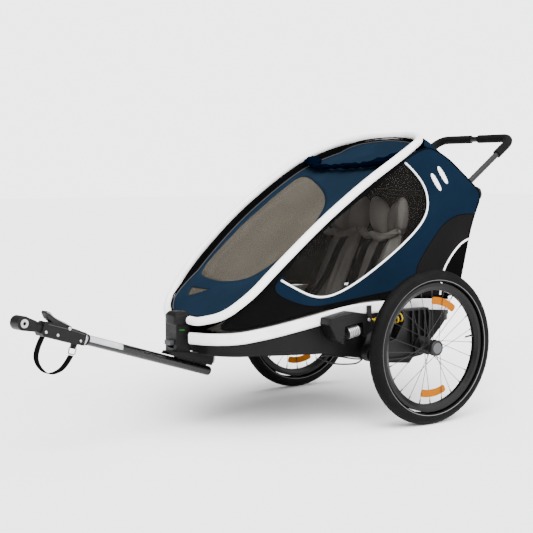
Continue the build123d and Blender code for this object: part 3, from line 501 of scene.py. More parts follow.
def tangents(path, closed=False):
    """The direction of a path at each of its points."""
    path = np.asarray(path, float)
    onward = np.roll(path, -1, axis=0) - np.roll(path, 1, axis=0)
    if not closed:
        onward[0], onward[-1] = path[1] - path[0], path[-1] - path[-2]
    return onward / np.linalg.norm(onward, axis=1)[:, None]


def sweep(name, path, section, material, closed=False, up=(0, 0, 1)):
    """A section of (across, up) points, or a function that gives one, carried along a path."""
    path, up = np.asarray(path, float), np.asarray(up, float)
    ups = np.broadcast_to(up, path.shape) if up.ndim == 1 else up
    rings = []
    for i, (spot, along) in enumerate(zip(path, tangents(path, closed))):
        across = np.cross(along, ups[i])
        across /= np.linalg.norm(across)
        rise = np.cross(across, along)
        shape = section(i / (len(path) - 1)) if callable(section) else section
        rings.append([spot + across * a + rise * b for a, b in shape])
    n, m = len(rings), len(rings[0])
    faces = grid_faces(n, m, along=closed)
    if not closed:
        faces += [tuple(range(m)), tuple(reversed(range((n - 1) * m, n * m)))]
    return piece(name, np.array(rings).reshape(-1, 3), faces, material)


def ring_section(radius, count):
    """A round section."""
    return [(radius * cos(2 * pi * k / count), radius * sin(2 * pi * k / count)) for k in range(count)]


def strap_section(width, thick):
    """A flat section with eased edges."""
    half, edge = width / 2, thick / 2
    return [(-half, -edge * 0.5), (-half + edge, -edge), (half - edge, -edge), (half, -edge * 0.5),
            (half, edge * 0.5), (half - edge, edge), (-half + edge, edge), (-half, edge * 0.5)]


def settle(obj, voxel=0.006, cap=0.008):
    """Swells a closed pad as pressed cloth, with how far a point may move held back."""
    modifier = obj.modifiers.new("remesh", "REMESH")
    modifier.mode, modifier.voxel_size = "VOXEL", voxel
    apply_modifiers(obj)
    before = np.array([v.co for v in obj.data.vertices])
    cloth_modifier = obj.modifiers.new("cloth", "CLOTH")
    settings = cloth_modifier.settings
    settings.quality, settings.mass, settings.use_pressure = 4, 0.3, True
    settings.uniform_pressure_force = 4.0
    settings.effector_weights.gravity = 0
    cloth_modifier.collision_settings.use_collision = False
    cloth_modifier.point_cache.frame_start, cloth_modifier.point_cache.frame_end = 1, SETTLE_FRAMES
    for number in range(1, SETTLE_FRAMES + 1):
        scene.frame_set(number)
    apply_modifiers(obj)
    scene.frame_set(1)
    after = np.array([v.co for v in obj.data.vertices])
    move = after - before
    length = np.linalg.norm(move, axis=1)
    factor = np.where(length > cap, cap / np.maximum(length, 1e-9), 1)
    after = before + move * factor[:, None]
    obj.data.vertices.foreach_set("co", after.ravel())
    obj.data.update()
    smooth_modifier = obj.modifiers.new("smooth", "LAPLACIANSMOOTH")
    smooth_modifier.iterations, smooth_modifier.lambda_factor = 3, 0.4
    subdivision = obj.modifiers.new("fine", "SUBSURF")
    subdivision.levels = 1
    apply_modifiers(obj)
    obj.data.polygons.foreach_set("use_smooth", [True] * len(obj.data.polygons))
    return obj


def cushion(name, sections, material):
    """A closed pad lofted through closed sections of points."""
    n, m = len(sections), len(sections[0])
    faces = grid_faces(n, m) + [tuple(reversed(range(m))), tuple(range((n - 1) * m, n * m))]
    return turn_outward(piece(name, np.array(sections).reshape(-1, 3), faces, material))


# ---- cords
rise, yaw = radians(18), radians(11.8)  # the tow arm's slope and its turn to the left
arm_x = Vector((cos(rise) * cos(yaw), cos(rise) * sin(yaw), sin(rise)))
arm_z = Vector((-sin(rise) * cos(yaw), -sin(rise) * sin(yaw), cos(rise)))
arm_y = arm_z.cross(arm_x)


def arm_point(along, left=0.0, up=0.0):
    """A point in the tow arm's own frame, in millimetres."""
    return ahead(0.616, 0, 0.181) + (arm_x * along + arm_y * left + arm_z * up) / 1000


def nurbs(name, points, radius, material):
    """A round cord on a smooth line led by its route's points."""
    data = bpy.data.curves.new(name, "CURVE")
    data.dimensions = "3D"
    data.bevel_depth, data.bevel_resolution, data.resolution_u = radius, 4, 12
    spline = data.splines.new("NURBS")
    spline.points.add(len(points) - 1)
    for spot, place in zip(spline.points, points):
        spot.co = (*place, 1)
    spline.order_u, spline.use_endpoint_u = 3, True
    obj = bpy.data.objects.new(name, data)
    scene.collection.objects.link(obj)
    data.materials.append(material)
    return obj


def centre_line(obj):
    """The line that a cord's curve follows."""
    bare = obj.copy()
    bare.data = obj.data.copy()
    bare.data.bevel_depth = 0
    scene.collection.objects.link(bare)
    bpy.context.view_layer.update()
    mesh = bpy.data.meshes.new_from_object(bare)
    line = [tuple(v.co) for v in mesh.vertices]
    bpy.data.meshes.remove(mesh)
    bare_data = bare.data
    bpy.data.objects.remove(bare)
    bpy.data.curves.remove(bare_data)
    return line


def run_length(line):
    return float(np.sum(np.linalg.norm(np.diff(np.array(line), axis=0), axis=1)))


CABLE_ROUTE = [
    (-0.209, -0.026, 0.340), (-0.208, -0.032, 0.318), (-0.185, -0.042, 0.300), (-0.150, -0.050, 0.287),
    (-0.100, -0.040, 0.253), (-0.050, 0.000, 0.219), (0.008, 0.060, 0.176), (0.080, 0.120, 0.182),
    (0.150, 0.160, 0.196), (0.220, 0.180, 0.213), (0.285, 0.190, 0.226), (0.334, 0.215, 0.230),
    (0.345, 0.250, 0.224), (0.315, 0.272, 0.212), (0.262, 0.280, 0.207), (0.228, 0.288, 0.209),
    (0.212, 0.2895, 0.226),
]
brake_cable = nurbs("brake_cable_run", [ahead(*p) for p in CABLE_ROUTE], CABLE_THICK / 2, m_cable)
fit(brake_cable, "chassis", "brake_cable")
cable_length = run_length(centre_line(brake_cable))
ahead(*CABLE_ROUTE[0])

# along the tow arm and up from it, in millimetres
STRAP_ROUTE = [(636, -21.6), (647, -66), (630, -101), (590, -121), (554, -105), (536, -80), (527.5, -53.4)]
strap_line = nurbs("strap_line", [arm_point(a, 0, u) for a, u in STRAP_ROUTE], 0.001, m_webbing)
strap_path = centre_line(strap_line)
bpy.data.objects.remove(strap_line)
safety_strap = sweep("safety_strap_web", strap_path, strap_section(STRAP_WIDE, STRAP_THICK), m_webbing,
                     up=np.array([np.cross(np.array(arm_y), along) for along in tangents(strap_path)]))
fit(safety_strap, "tow_arm", "safety_strap")

# ---- carried-over parts
finishes = {
    "lower_rail": m_rail, "hoop": m_sleeve, "floor_tub": m_tub, "suspension_beam": m_dark_tube,
    "front_receiver": m_receiver, "receiver_button": m_tab, "retaining_pin": m_steel,
    "rear_latches": m_housing, "brake_bracket": m_housing, "brake_pedal": m_lever,
    "hoop_pin": m_pin_steel, "canopy_bow": m_dark_tube,
    "corner_hinges": m_hitch, "rear_uprights": m_dark_tube, "handlebar": m_dark_tube, "handle_grips": m_grip,
    "tow_tube": m_tow, "tow_tube_plug": m_hitch, "tow_saddle": m_hitch, "hitch_body": m_hitch,
    "hitch_lever": m_lever, "hitch_head": m_hitch, "hitch_washers": m_steel, "d_ring": m_steel,
}
for side in SIDES:
    finishes |= {
        f"rim_{side}": m_rim, f"spokes_{side}": m_spoke, f"hub_{side}": m_hub, f"wheel_button_{side}": m_cap,
        f"spoke_reflectors_{side}": m_reflector, f"axle_{side}": m_pin_steel, f"swing_arm_{side}": m_arm,
        f"suspension_housing_{side}": m_housing, f"preload_dial_{side}": m_dial, f"spring_{side}": m_spring,
    }
for node, material in finishes.items():
    for place in nodes[node].material_slots:
        place.material = material

# ---- canopy lines
HOOP_LEFT = [(0.704, 0.046, 0.354), (0.704, 0.092, 0.354), (0.662, 0.178, 0.376), (0.596, 0.229, 0.440),
             (0.515, 0.249, 0.523), (0.355, 0.267, 0.663), (0.190, 0.273, 0.779), (0.050, 0.275, 0.862),
             (-0.080, 0.222, 0.917), (-0.132, 0.125, 0.935)]
hoop_route = HOOP_LEFT + [(x, -y, z) for x, y, z in reversed(HOOP_LEFT)]
hoop_line = even(curve(hoop_route, per=14), 0.008)
half = hoop_line[: len(hoop_line) // 2]
order = np.argsort(half[:, 0])
hoop_x, hoop_z = half[order][:, 0], half[order][:, 2]
plan_left = [p[:2] for p in HOOP_LEFT[1:]]
plan_loop = even(curve(plan_left + [(x, -y) for x, y in reversed(plan_left)], True, 12), 0.006, True)


def inset(loop, distance):
    """A closed loop moved inward."""
    loop = np.asarray(loop)
    along = np.roll(loop, -1, axis=0) - np.roll(loop, 1, axis=0)
    normal = np.column_stack([-along[:, 1], along[:, 0]])
    normal /= np.linalg.norm(normal, axis=1)[:, None]
    middle = loop.mean(axis=0)
    if np.mean(np.sum(normal * (middle - loop), axis=1)) < 0:
        normal = -normal
    return loop + normal * distance


def cover_height(x):
    """The height of the hoop's plane."""
    return float(np.interp(x, hoop_x, hoop_z)) - 0.006


def sunk(x, y, depth):
    """A point below the hoop's plane, square to the slope there."""
    slope = (cover_height(x + 0.01) - cover_height(x - 0.01)) / 0.02
    reach = hypot(slope, 1)
    return ahead(x + slope / reach * depth, y, cover_height(x) - depth / reach)


def cover_surface(x, y):
    """The front cover, drawn tight below the hoop with a slight crown and soft ripples."""
    width = max(0.05, float(np.interp(x, [-0.13, -0.08, 0.05, 0.2, 0.515, 0.6, 0.66, 0.70],
                                      [0.16, 0.21, 0.262, 0.26, 0.236, 0.216, 0.165, 0.09])))
    across = min(1.0, abs(y) / width)
    crown = 0.006 * (1 - across ** 2) * min(1, max(0, (0.70 - x) / 0.08)) * min(1, max(0, (x + 0.13) / 0.06))
    ripple = 0.0014 * sin(x * 46 + y * 9) * sin(y * 31 + 1.3) * (1 - across ** 2)
    low = min(1.0, max(0.0, (0.60 - x) / 0.10 + 0.35)) * min(1.0, max(0.0, (x + 0.14) / 0.08))
    return sunk(x, y, COVER_DEPTH * low - crown - ripple)


# ---- front cover
WINDOW = [(0.562, -0.010), (0.551, 0.056), (0.529, 0.113), (0.485, 0.158), (0.395, 0.196), (0.306, 0.163),
          (0.250, 0.122), (0.203, 0.048), (0.152, -0.073), (0.116, -0.170), (0.120, -0.218), (0.190, -0.214),
          (0.283, -0.214), (0.395, -0.215), (0.500, -0.214), (0.545, -0.200), (0.558, -0.101)]
window_loop = curve(WINDOW, True, 6)
VENT = [(0.591, -0.155), (0.5905, -0.092), (0.590, -0.029), (0.605, -0.070), (0.620, -0.112),
        (0.6055, -0.134)]
vent_loop = np.array(VENT)
cover_loop = inset(plan_loop, 0.0125)
front_cover = panel("front_cover_cloth", cover_loop, cover_surface, [], [m_cover],
                    holes=[window_loop, vent_loop])
fit(front_cover, "canopy", "front_cover")


def behind_cover(x, y):
    """The film's place, sewn behind the cover."""
    return cover_surface(x, y) - Vector((0, 0, 0.0022))


front_window = panel("front_window_film", inset(window_loop, -0.006), behind_cover, [], [m_film_front],
                     thickness=FILM_THICK)
fit(front_window, "canopy", "front_window")
vent_net = panel("front_vent_net", inset(vent_loop, -0.004), behind_cover, [], [m_film_front],
                 thickness=FILM_THICK)
fit(vent_net, "canopy")


def edge_path(loop, lift=0.0):
    """A loop of the cover, as points in the trailer's frame."""
    return [np.array(cover_surface(x, y)) + (0, 0, lift) for x, y in loop]


# black zip band: the wall between the hoop's sleeve and the cover
wall_low = edge_path(inset(plan_loop, 0.0150))
wall_high = [np.array(sunk(x, y, 0.002)) for x, y in inset(plan_loop, 0.0125)]
steps = 4
wall_points = [low * (1 - k / steps) + high * (k / steps) + (0, 0, 0.0006 * (k % 2))
               for k in range(steps + 1) for low, high in zip(wall_low, wall_high)]
wall_faces = grid_faces(steps + 1, len(wall_low))
zip_band = thicken(piece("cover_zip_band", wall_points, wall_faces, m_black), 0.002)
fit(zip_band, "canopy")
m_piping_grey = cloth("piping_grey", (0.05, 0.05, 0.053), "xy", thread=0.002, wear=0.05)
for name, gap, lift, size, finish in (("cover_zip_piping", 0.0185, 0.0016, 0.0018, m_piping_grey),
                                      ("cover_zip_teeth", 0.0128, 0.010, 0.0022, m_charcoal)):
    run = sweep(name, edge_path(inset(plan_loop, gap), lift), ring_section(size, 8), finish, closed=True)
    fit(run, "canopy")

# ---- gathered sunshade
shade_route = [(0.040, -0.232, 0.872), (0.086, -0.170, 0.853), (0.100, -0.085, 0.846), (0.094, -0.010, 0.850),
               (0.092, 0.070, 0.851), (0.084, 0.140, 0.855), (0.060, 0.195, 0.868), (0.032, 0.232, 0.882)]
shade_line = even(curve(shade_route, per=12), 0.0025)


def shade_section(t):
    """Folds of the bunched cloth, fatter at its ends."""
    size = 0.0105 + 0.011 * abs(2 * t - 1) ** 3 + 0.0022 * sin(t * 61) + 0.0016 * sin(t * 23 + 1)
    out = []
    for k in range(40):
        a = 2 * pi * k / 40
        fold = (0.0018 * sin(9 * a + 38 * t) + 0.0012 * sin(5 * a - 51 * t + 1)
                + 0.0009 * sin(14 * a + 90 * t))
        r = size + fold
        out.append((r * 1.25 * cos(a), r * 0.72 * sin(a)))
    return out


sunshade = sweep("sunshade_bunch", [ahead(*p) + SHADE_DROP for p in shade_line], shade_section, m_shade)
fit(sunshade, "canopy", "sunshade_roll")

# ---- side panels
HULL = [(0.700, 0.110), (0.682, 0.132), (0.628, 0.204), (0.535, 0.243), (0.400, 0.262), (0.254, 0.271),
        (0.120, 0.275), (-0.060, 0.275), (-0.340, 0.275)]
hull_line = curve(HULL, per=12)[::-1]
hull_x, hull_y = hull_line[:, 0], hull_line[:, 1]


def side_width(x, z):
    """Half width of the body's cloth at a point of the side view."""
    wide = float(np.interp(x, hull_x, hull_y)) - 0.0035
    top = max(0.0, min(1.0, (z - 0.84) / 0.09))
    back = max(0.0, min(1.0, (0.10 - x) / 0.18))
    top, back = top * top * (3 - 2 * top), back * back * (3 - 2 * back)
    dip = 0.003 * sin(x * 11 + 1) * sin((z - 0.38) * 9)
    return wide - 0.024 * top * back - max(0, dip) * 0.6


SIDE_TOP = [(0.662, 0.352), (0.596, 0.424), (0.515, 0.506), (0.355, 0.646), (0.190, 0.762), (0.050, 0.845),
            (-0.040, 0.886)]
SIDE_BACK = [(-0.110, 0.893), (-0.275, 0.770), (-0.306, 0.744), (-0.306, 0.714), (-0.278, 0.657),
             (-0.255, 0.584), (-0.224, 0.454), (-0.206, 0.390)]
SIDE_LOW = [(-0.060, 0.398), (0.120, 0.403), (0.254, 0.398), (0.400, 0.371), (0.535, 0.347),
            (0.628, 0.330), (0.660, 0.330)]
side_loop = curve(SIDE_TOP + SIDE_BACK + SIDE_LOW, True, 8)
SIDE_WINDOW = [(0.497, 0.486), (0.440, 0.452), (0.368, 0.423), (0.287, 0.437), (0.159, 0.502),
               (0.011, 0.597), (-0.064, 0.672), (-0.060, 0.745), (-0.010, 0.805), (0.040, 0.838),
               (0.076, 0.812), (0.198, 0.734), (0.294, 0.677), (0.400, 0.598), (0.490, 0.500)]
side_window_loop = curve(SIDE_WINDOW, True, 6)
TOP_CHARCOAL = [(0.72, 0.30), (0.72, 0.90), (0.02, 0.95), (0.02, 0.848), (0.050, 0.829), (0.198, 0.734),
                (0.368, 0.618), (0.500, 0.492), (0.524, 0.460), (0.50, 0.430), (0.398, 0.392), (0.30, 0.403),
                (0.257, 0.409), (0.083, 0.428), (0.02, 0.434), (-0.019, 0.430), (-0.019, 0.36), (0.5, 0.28)]
REAR_GREY = [(-0.36, 0.670), (-0.246, 0.668), (-0.212, 0.668), (-0.171, 0.656), (-0.132, 0.633),
             (-0.092, 0.590), (-0.060, 0.551), (-0.035, 0.518), (-0.019, 0.490), (-0.015, 0.36),
             (-0.36, 0.36)]
REAR_BLACK = [(-0.36, 0.586), (-0.255, 0.584), (-0.228, 0.577), (-0.194, 0.551), (-0.167, 0.522),
              (-0.141, 0.486), (-0.130, 0.36), (-0.36, 0.36)]
WINDOW_PIPING = SIDE_WINDOW[:9] + [(0.036, 0.836)]
BACK_PIPING = [(-0.253, 0.584), (-0.228, 0.577), (-0.194, 0.551), (-0.167, 0.522), (-0.141, 0.486),
               (-0.130, 0.440), (-0.126, 0.402)]


def outward(line, distance):
    """An open line moved off the window's edge, onto the cloth."""
    along = np.gradient(line, axis=0)
    normal = np.column_stack([along[:, 1], -along[:, 0]])
    normal /= np.linalg.norm(normal, axis=1)[:, None]
    middle = np.array(SIDE_WINDOW).mean(axis=0)
    sense = np.sign(np.mean(np.sum(normal * (line - middle), axis=1)))
    return line + normal * sense * distance


piping_runs = {"window": outward(curve(WINDOW_PIPING, per=10), 0.0036), "back": curve(BACK_PIPING, per=10)}
# middles of the two slanted bars, and a bar's half length and half width as arrows
REFLECTIVE_BARS = ((-0.1025, 0.7765), (-0.1315, 0.7995))
BAR_ALONG, BAR_ACROSS = np.array((-0.62, -0.785)) * 0.032, np.array((0.785, -0.62)) * 0.0075


def zone_border(loop):
    """The border of a sewn zone, smoothed and evenly spaced."""
    return even(curve(loop, True, 6), 0.01, True)


def side_piece(made):
    """A piece of the soft side, with its placement baked into its mesh."""
    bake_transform(made)


for side, sign in SIDES.items():
    def on_side(x, z, out=0.0, sign=sign):
        """A point on this side's cloth, or a little way out from it."""
        return ahead(x, sign * (side_width(x, z) + out), z)

    def on_side_line(points, out):
        """Points along a line on this side's cloth."""
        return [np.array(on_side(x, z, out)) for x, z in points]

    cloth_piece = panel(f"side_cloth_{side}", side_loop, on_side,
                        [(zone_border(TOP_CHARCOAL), 1), (zone_border(REAR_GREY), 2),
                         (zone_border(REAR_BLACK), 3)],
                        [m_blue, m_charcoal, m_grey, m_black], holes=[side_window_loop])
    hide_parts(f"side_panel_{side}")
    side_piece(cloth_piece)
    glass = panel(f"side_film_{side}", inset(side_window_loop, -0.006),
                  lambda x, z: on_side(x, z, -0.0024), [], [m_film_side], thickness=FILM_THICK)
    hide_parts(f"side_window_{side}")
    side_piece(glass)
    for run, points in piping_runs.items():
        cord = sweep(f"piping_{run}_{side}", on_side_line(even(points, 0.006), 0.0018),
                     ring_section(PIPING_RADIUS, 10), m_piping, up=(0, 1, 0))
        side_piece(cord)
    for bar, centre in enumerate(REFLECTIVE_BARS):
        corners = [centre + BAR_ALONG * a + BAR_ACROSS * b for a, b in ((-1, -1), (1, -1), (1, 1), (-1, 1))]
        outline = centre + (even(curve(corners, True, 8), 0.003, True) - centre) * 1.12
        mark = panel(f"reflective_bar_{bar}_{side}", outline, lambda x, z: on_side(x, z, 0.0009), [],
                     [m_piping], step=0.004, thickness=REFLECTIVE_THICK)
        side_piece(mark)
    binding = sweep(f"side_binding_{side}", on_side_line(even(inset(side_loop, 0.0025), 0.008, True), 0.0004),
                    ring_section(BINDING_RADIUS, 8), m_charcoal, closed=True, up=(0, 1, 0))
    side_piece(binding)
    for seam, loop in (("charcoal", TOP_CHARCOAL), ("grey", REAR_GREY)):
        line = zone_border(loop)
        kept = inside(line, inset(side_loop, 0.006)) & ~inside(line, inset(side_window_loop, -0.008))
        starts = [i for i in range(len(line)) if kept[i] and not kept[i - 1]]
        for number, start in enumerate(starts):
            run = []
            while kept[(start + len(run)) % len(line)] and len(run) < len(line):
                run.append(line[(start + len(run)) % len(line)])
            if len(run) < 6:
                continue
            stitch = sweep(f"seam_{seam}_{number}_{side}", on_side_line(run, 0.0002),
                           ring_section(SEAM_RADIUS, 6), m_charcoal, up=(0, 1, 0))
            side_piece(stitch)

# ---- hood and rear cloth
hood_line = curve([(-0.132, 0.930), (-0.150, 0.915), (-0.205, 0.860), (-0.262, 0.796), (-0.286, 0.768),
                   (-0.301, 0.746), (-0.299, 0.728)], per=8)


def hood_surface(t, v):
    """The sloping sheet from the hoop down to the cross bar, turned over at its sides."""
    along = np.linspace(0, 1, len(hood_line))
    x, z = (float(np.interp(t, along, hood_line[:, k])) for k in range(2))
    width = 0.242 + 0.026 * min(1, t * 1.5) ** 0.6
    corner = max(0, (abs(v) - 0.5) / 0.5) ** 2 * (1 - t) ** 1.5
    over = max(0, abs(v) - 0.9) / 0.1
    sag = 0.006 * (1 - v * v) * sin(pi * t)
    return ahead(x + 0.052 * corner + 0.008 * over ** 2, v * width,
                 z - sag * 0.8 - 0.018 * corner - 0.016 * over ** 2)


hood = panel("hood_cloth", [(0, -1), (1, -1), (1, 1), (0, 1)], hood_surface, [], [m_hood], step=0.05)
fit(hood, "canopy", "hood")

upright = (Vector((-0.280, 0.735)) - Vector((-0.200, 0.420))).normalized()


def rear_surface(up, y):
    """The rear cloth, hung just behind the uprights."""
    back = 0.0106 + 0.004 * sin(pi * up / 0.30) * (1 - (y / 0.25) ** 2)
    return ahead(-0.200 + upright.x * up - upright.y * back, y, 0.420 + upright.y * up + upright.x * back)


rear_cloth = panel("rear_cloth", [(0.012, -0.267), (0.320, -0.267), (0.320, 0.267), (0.012, 0.267)],
                   rear_surface, [], [m_rear], step=0.016)
fit(rear_cloth, "rear_frame", "rear_panel")


def flap_surface(y, z):
    """The loose flap behind the seats, down to the tub."""
    return ahead(-0.172 + 0.003 * sin(y * 40) * (0.45 - z) / 0.1, y, z)


flap = panel("luggage_flap", [(-0.262, 0.330), (0.262, 0.330), (0.262, 0.446), (-0.262, 0.446)],
             flap_surface, [], [m_rear], step=0.016)
fit(flap, "chassis")
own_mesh(flap)

# ---- seats
def rounded(width, depth, count=20, power=3.2):
    """A rounded rectangle of points about its middle."""
    out = []
    for k in range(count):
        a = 2 * pi * k / count
        c, s = cos(a), sin(a)
        out.append((width / 2 * abs(c) ** (2 / power) * (1 if c >= 0 else -1),
                    depth / 2 * abs(s) ** (2 / power) * (1 if s >= 0 else -1)))
    return out


def presses_flat(obj):
    """A soft piece of a seat, riding on the chassis with a mesh of its own."""
    fit(obj, "chassis")
    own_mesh(obj)


for side, sign in SIDES.items():
    middle = SEAT_MIDDLE * sign
    sections = []
    for t in np.linspace(0, 1, 13):
        x, z = 0.090 - 0.118 * t, 0.345 + 0.262 * t
        width = 0.186 * (1 - 0.10 * (2 * t - 1) ** 4)
        depth = 0.036 * (1 - 0.25 * (2 * t - 1) ** 4)
        pleat = [0.0055 * sin((a * (1 + 0.5 * (1 - t))) * 2 * pi / 0.040 + 2.2 * t + sign) * (b > 0)
                 * min(1, 4 * (1 - t)) for a, b in rounded(width, depth, 44)]
        sections.append([(AXLE_X + x + (b + p) * 0.92, middle + a, z + (b + p) * 0.38)
                         for (a, b), p in zip(rounded(width, depth, 44), pleat)])
    back = settle(cushion(f"seat_back_pad_{side}", sections, m_seat), cap=0.007)
    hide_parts(f"seat_back_{side}")
    presses_flat(back)
    for lobe, tilt in (("inner", -1), ("outer", 1)):
        sections = []
        for t in np.linspace(-1, 1, 9):
            reach = (1 - abs(t) ** 3.2) ** 0.5 * 0.97 + 0.03
            wide = 0.058 if tilt > 0 else 0.050
            y = middle + sign * tilt * 0.051 + t * wide * 0.96
            lean = 0.024 * t * tilt * sign
            wing = 0.030 * max(0, t * sign * tilt) if tilt > 0 else 0
            sections.append([(AXLE_X - 0.047 + wing + b * reach, y, 0.655 + lean + a * reach)
                             for a, b in rounded(0.128, 0.056, 28, power=2.4)])
        head = settle(cushion(f"headrest_{lobe}_{side}", sections, m_seat), voxel=0.005, cap=0.006)
        presses_flat(head)
    for number, offset in enumerate((-0.045, 0.045)):
        path = curve([(-0.012, middle + offset * 0.8, 0.600), (0.020, middle + offset * 0.9, 0.585),
                      (0.070, middle + offset * 0.8, 0.480), (0.115, middle + offset * 0.5, 0.400),
                      (0.160, middle + offset * 0.3, 0.366)], per=8)
        strap = sweep(f"harness_{side}_{number}", [ahead(*p) for p in path], strap_section(0.034, 0.006),
                      m_webbing, up=(1, 0, 0.6))
        presses_flat(strap)
    collar = curve([(x, middle + y, z) for x, y, z in (
        (-0.004, -0.094, 0.612), (0.012, -0.060, 0.590), (0.010, -0.020, 0.602),
        (0.014, 0.020, 0.585), (0.010, 0.060, 0.600), (-0.004, 0.094, 0.615))], per=10)
    collar = even(collar, 0.004)
    roll = sweep(f"seat_collar_{side}", [ahead(*p) for p in collar], lambda t: [
        ((0.014 + 0.0016 * sin(31 * t + 5 * a)) * cos(a) * (1.2 - 0.3 * abs(2 * t - 1)),
         (0.011 + 0.0012 * sin(23 * t + 4 * a)) * sin(a) * (1.2 - 0.3 * abs(2 * t - 1)))
        for a in np.linspace(0, 2 * pi, 22, endpoint=False)], m_seat)
    presses_flat(roll)
    buckle = cushion(f"harness_buckle_{side}", [
        [(AXLE_X + 0.150 + b, middle + a, 0.374 + h) for a, b in rounded(0.050, 0.044, 16)]
        for h in (0.0, 0.003, 0.011, 0.014)], m_hitch)
    fit(buckle, "chassis")

sections = []
for t in np.linspace(-1, 1, 25):
    pinch = 1 - 0.10 * abs(t) ** 6 - 0.035 * max(0, cos(t * pi * 3)) ** 8
    y = 0.238 * t
    sections.append([(AXLE_X + 0.205 + a, y, 0.296 + b * pinch) for a, b in rounded(0.300, 0.068, 28, 4)])
base = settle(cushion("seat_base_pad", sections, m_seat_base), voxel=0.0065, cap=0.008)
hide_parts("seat_base")
fit(base, "chassis")


def apron_surface(x, y):
    """The quilted apron that falls from the seat to the tub's floor."""
    fold = 0.004 * abs(sin(y * pi / 0.032))
    low = max(0.0, (x - 0.36) / 0.16)
    return ahead(x, y, 0.322 - 0.050 * low ** 0.7 + fold)


apron = panel("seat_apron", [(0.352, -0.215), (0.352, 0.215), (0.500, 0.200), (0.500, -0.200)],
              apron_surface, [], [m_seat_base], step=0.007, thickness=0.004)
fit(apron, "chassis")

# ---- small parts
m_label = plastic("label_white", (0.34, 0.35, 0.37), 0.45, soft=0.0)
m_green = plastic("mark_green", (0.004, 0.12, 0.006), 0.4, soft=0.0)
sections = []
for t in np.linspace(0, 1, 12):
    grow = 1 - 0.30 * max(0, t - 0.72) ** 1.5 / 0.28 ** 1.5 - 0.06 * max(0, 0.12 - t) / 0.12
    rib = 0.0006 * (int(t * 11) % 2)
    sections.append([(AXLE_X + 0.7205 + b * grow, a * grow, 0.338 + 0.0405 * t) for a, b in
                     rounded(0.0752 + 2 * rib, 0.0555 + 2 * rib, 36, 4.5)])
knob = cushion("receiver_cap", sections, m_receiver)
fit(knob, "chassis")
mark_points = [ahead(0.716 + 0.018 * a, 0.0353 + 0.0004 * c, 0.3225 + 0.0022 * b) for c in (0, 1)
               for a, b in ((0, 0), (1, 0.4), (1, 1.4), (0, 1))]
green = piece("receiver_mark", mark_points, [(0, 1, 2, 3), (7, 6, 5, 4), (0, 4, 5, 1), (1, 5, 6, 2),
                                             (2, 6, 7, 3), (3, 7, 4, 0)], m_green, smooth=False)
fit(green, "chassis")
spans, turns = 24, 12
label_points = [arm_point(362 + 136 * i / spans, TUBE_RADIUS_MM * cos(turn), TUBE_RADIUS_MM * sin(turn))
                for i in range(spans + 1)
                for turn in (radians(-14 + 76 * j / turns) for j in range(turns + 1))]
label_faces = grid_faces(spans + 1, turns + 1, across=False)
label = thicken(piece("tow_tube_label", label_points, label_faces, m_label), 0.0002)
fit(label, "tow_arm")


def arm_ring(name, start, end, radius, material):
    """A turned collar around the tow arm, in millimetres along it."""
    made = cushion(name, [
        [arm_point(along, r * cos(2 * pi * k / 32), r * sin(2 * pi * k / 32)) for k in range(32)]
        for along, r in ((start, radius * 0.93), (start + 0.8, radius), (end - 0.8, radius),
                         (end, radius * 0.93))], material)
    fit(made, "tow_arm")


arm_ring("tow_clamp_ring", 497.5, 504.2, 19.5, m_steel)
arm_ring("tow_clamp_band", 486, 494, 16.6, m_hitch)
# each bolt's place along and up from the arm, and its head's radius, in millimetres
HITCH_BOLTS = ((566, 18, 5.5), (600, -8, 4.5), (520, -8, 4.0), (640, -8, 4.5))
for number, (along, up_by, size) in enumerate(HITCH_BOLTS):
    for side, sign in SIDES.items():
        bolt = cushion(f"hitch_bolt_{number}_{side}", [
            [arm_point(along + r * cos(k * pi / 9), sign * h, up_by + r * sin(k * pi / 9)) for k in range(18)]
            for h, r in ((18.6, size), (20.2, size), (20.9, size * 0.7))], m_steel)
        fit(bolt, "tow_arm")
HITCH_RIB = ((512, 12), (548, 15), (600, 15), (640, 14))
LEVER_TRIM = ((562, 25.5), (580, 29), (620, 36.5), (640, 46.5), (650, 46.5))
for side, sign in SIDES.items():
    for name, route, out, radius, finish, body, slot in (
            ("hitch_rib", HITCH_RIB, 19.2, 0.0012, m_tab, "tow_arm", "hitch_plastic"),
            ("lever_trim", LEVER_TRIM, 11.2, 0.0013, m_steel, "hitch_lock", "lever")):
        line = [tuple(arm_point(a, sign * out, u)) for a, u in curve(route, per=8)]
        trim = sweep(f"{name}_{side}", line, ring_section(radius, 8), finish)
        fit(trim, body)
for side, sign in SIDES.items():
    head = cushion(f"housing_bolt_{side}", [
        [ahead(0.2265 + r * cos(k * pi / 3), sign * (0.3302 + h), 0.352 + r * sin(k * pi / 3))
         for k in range(6)] for h, r in ((0, 0.0060), (0.003, 0.0060), (0.0042, 0.0050))], m_steel)
    fit(head, "chassis")

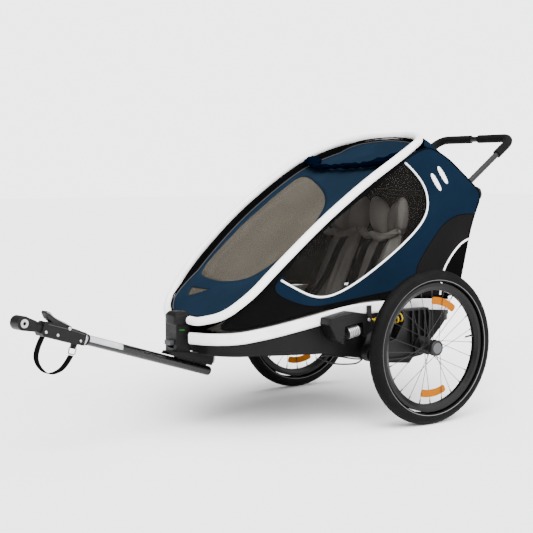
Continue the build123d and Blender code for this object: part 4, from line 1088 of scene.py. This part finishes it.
# ---- tyres
def tyre_mesh(side, sign):
    """A tyre with worn square tread blocks and smooth side walls."""
    around, across = 420, 34
    centre_r, section = 0.2265, 0.0232
    verts = []
    for i in range(around):
        turn = 2 * pi * i / around
        for j in range(across):
            a = radians(-128 + 256 * j / (across - 1))
            tread = max(0.0, 1 - (abs(a) / 0.95) ** 8)
            row = int(round(a / 0.30))
            block = (i * 60 // around * 7 + (3 if row % 2 else 0) + (i % 7)) % 7
            groove = 1.0 if (block in (0, 1) or abs(a / 0.30 - row) > 0.40) else 0.0
            r = section - 0.0009 * groove * tread
            radius = centre_r + r * cos(a)
            verts.append((AXLE_X + radius * cos(turn), sign * WHEEL_FROM_MIDDLE + r * sin(a),
                          AXLE_Z + radius * sin(turn)))
    faces = grid_faces(around, across, across=False, along=True)
    return thicken(turn_outward(piece(f"tyre_casing_{side}", verts, faces, m_tyre)), 0.003)


for side, sign in SIDES.items():
    tyre = tyre_mesh(side, sign)
    fit(tyre, f"wheel_{side}", f"tyre_{side}")

# ---- floor and light
FLOOR_HALF = 30
SKY_LIGHT, BACKDROP_LIGHT = 0.5, 3.9
floor_mat = Mat("floor_pale", (0.96, 0.96, 0.965), 0.9, Specular_IOR_Level=0.0)
floor_mat.set("Roughness", floor_mat.noise(3, 2) * 0.05 + 0.85)
corners = [(x * FLOOR_HALF, y * FLOOR_HALF, 0) for x, y in ((-1, -1), (1, -1), (1, 1), (-1, 1))]
floor = piece("floor", corners, [(0, 1, 2, 3)], floor_mat.material)
world = bpy.data.worlds.new("studio")
scene.world = world
world.use_nodes = True
studio = Nodes(world.node_tree)
sky = world.node_tree.nodes["Background"]
sky.inputs["Color"].default_value = (1, 1, 1, 1)
sky.inputs["Strength"].default_value = SKY_LIGHT
backdrop = studio.node("ShaderNodeBackground", {}, {"Color": (1, 1, 1, 1), "Strength": BACKDROP_LIGHT})
seen = studio.node("ShaderNodeLightPath", {}, {}, "Is Camera Ray")
choose = studio.node("ShaderNodeMixShader", {}, {0: seen, 1: Val(studio, sky.outputs[0]), 2: backdrop})
world.node_tree.links.new(choose.socket, world.node_tree.nodes["World Output"].inputs[0])


def lamp(name, spot, width, power):
    """A wide soft lamp, far off, that lights the floor evenly."""
    data = bpy.data.lights.new(name, "SUN")
    data.energy, data.angle = power, radians(width)
    obj = bpy.data.objects.new(name, data)
    scene.collection.objects.link(obj)
    obj.location = spot
    obj.rotation_euler = (-Vector(spot)).to_track_quat("-Z", "Y").to_euler()


lamp("key", (2.2, 3.0, 3.4), 50, 7.5)
lamp("fill", (-2.4, 3.4, 2.2), 60, 3.2)
lamp("top", (-0.2, 0.5, 4.0), 70, 3.6)

bpy.context.view_layer.update()
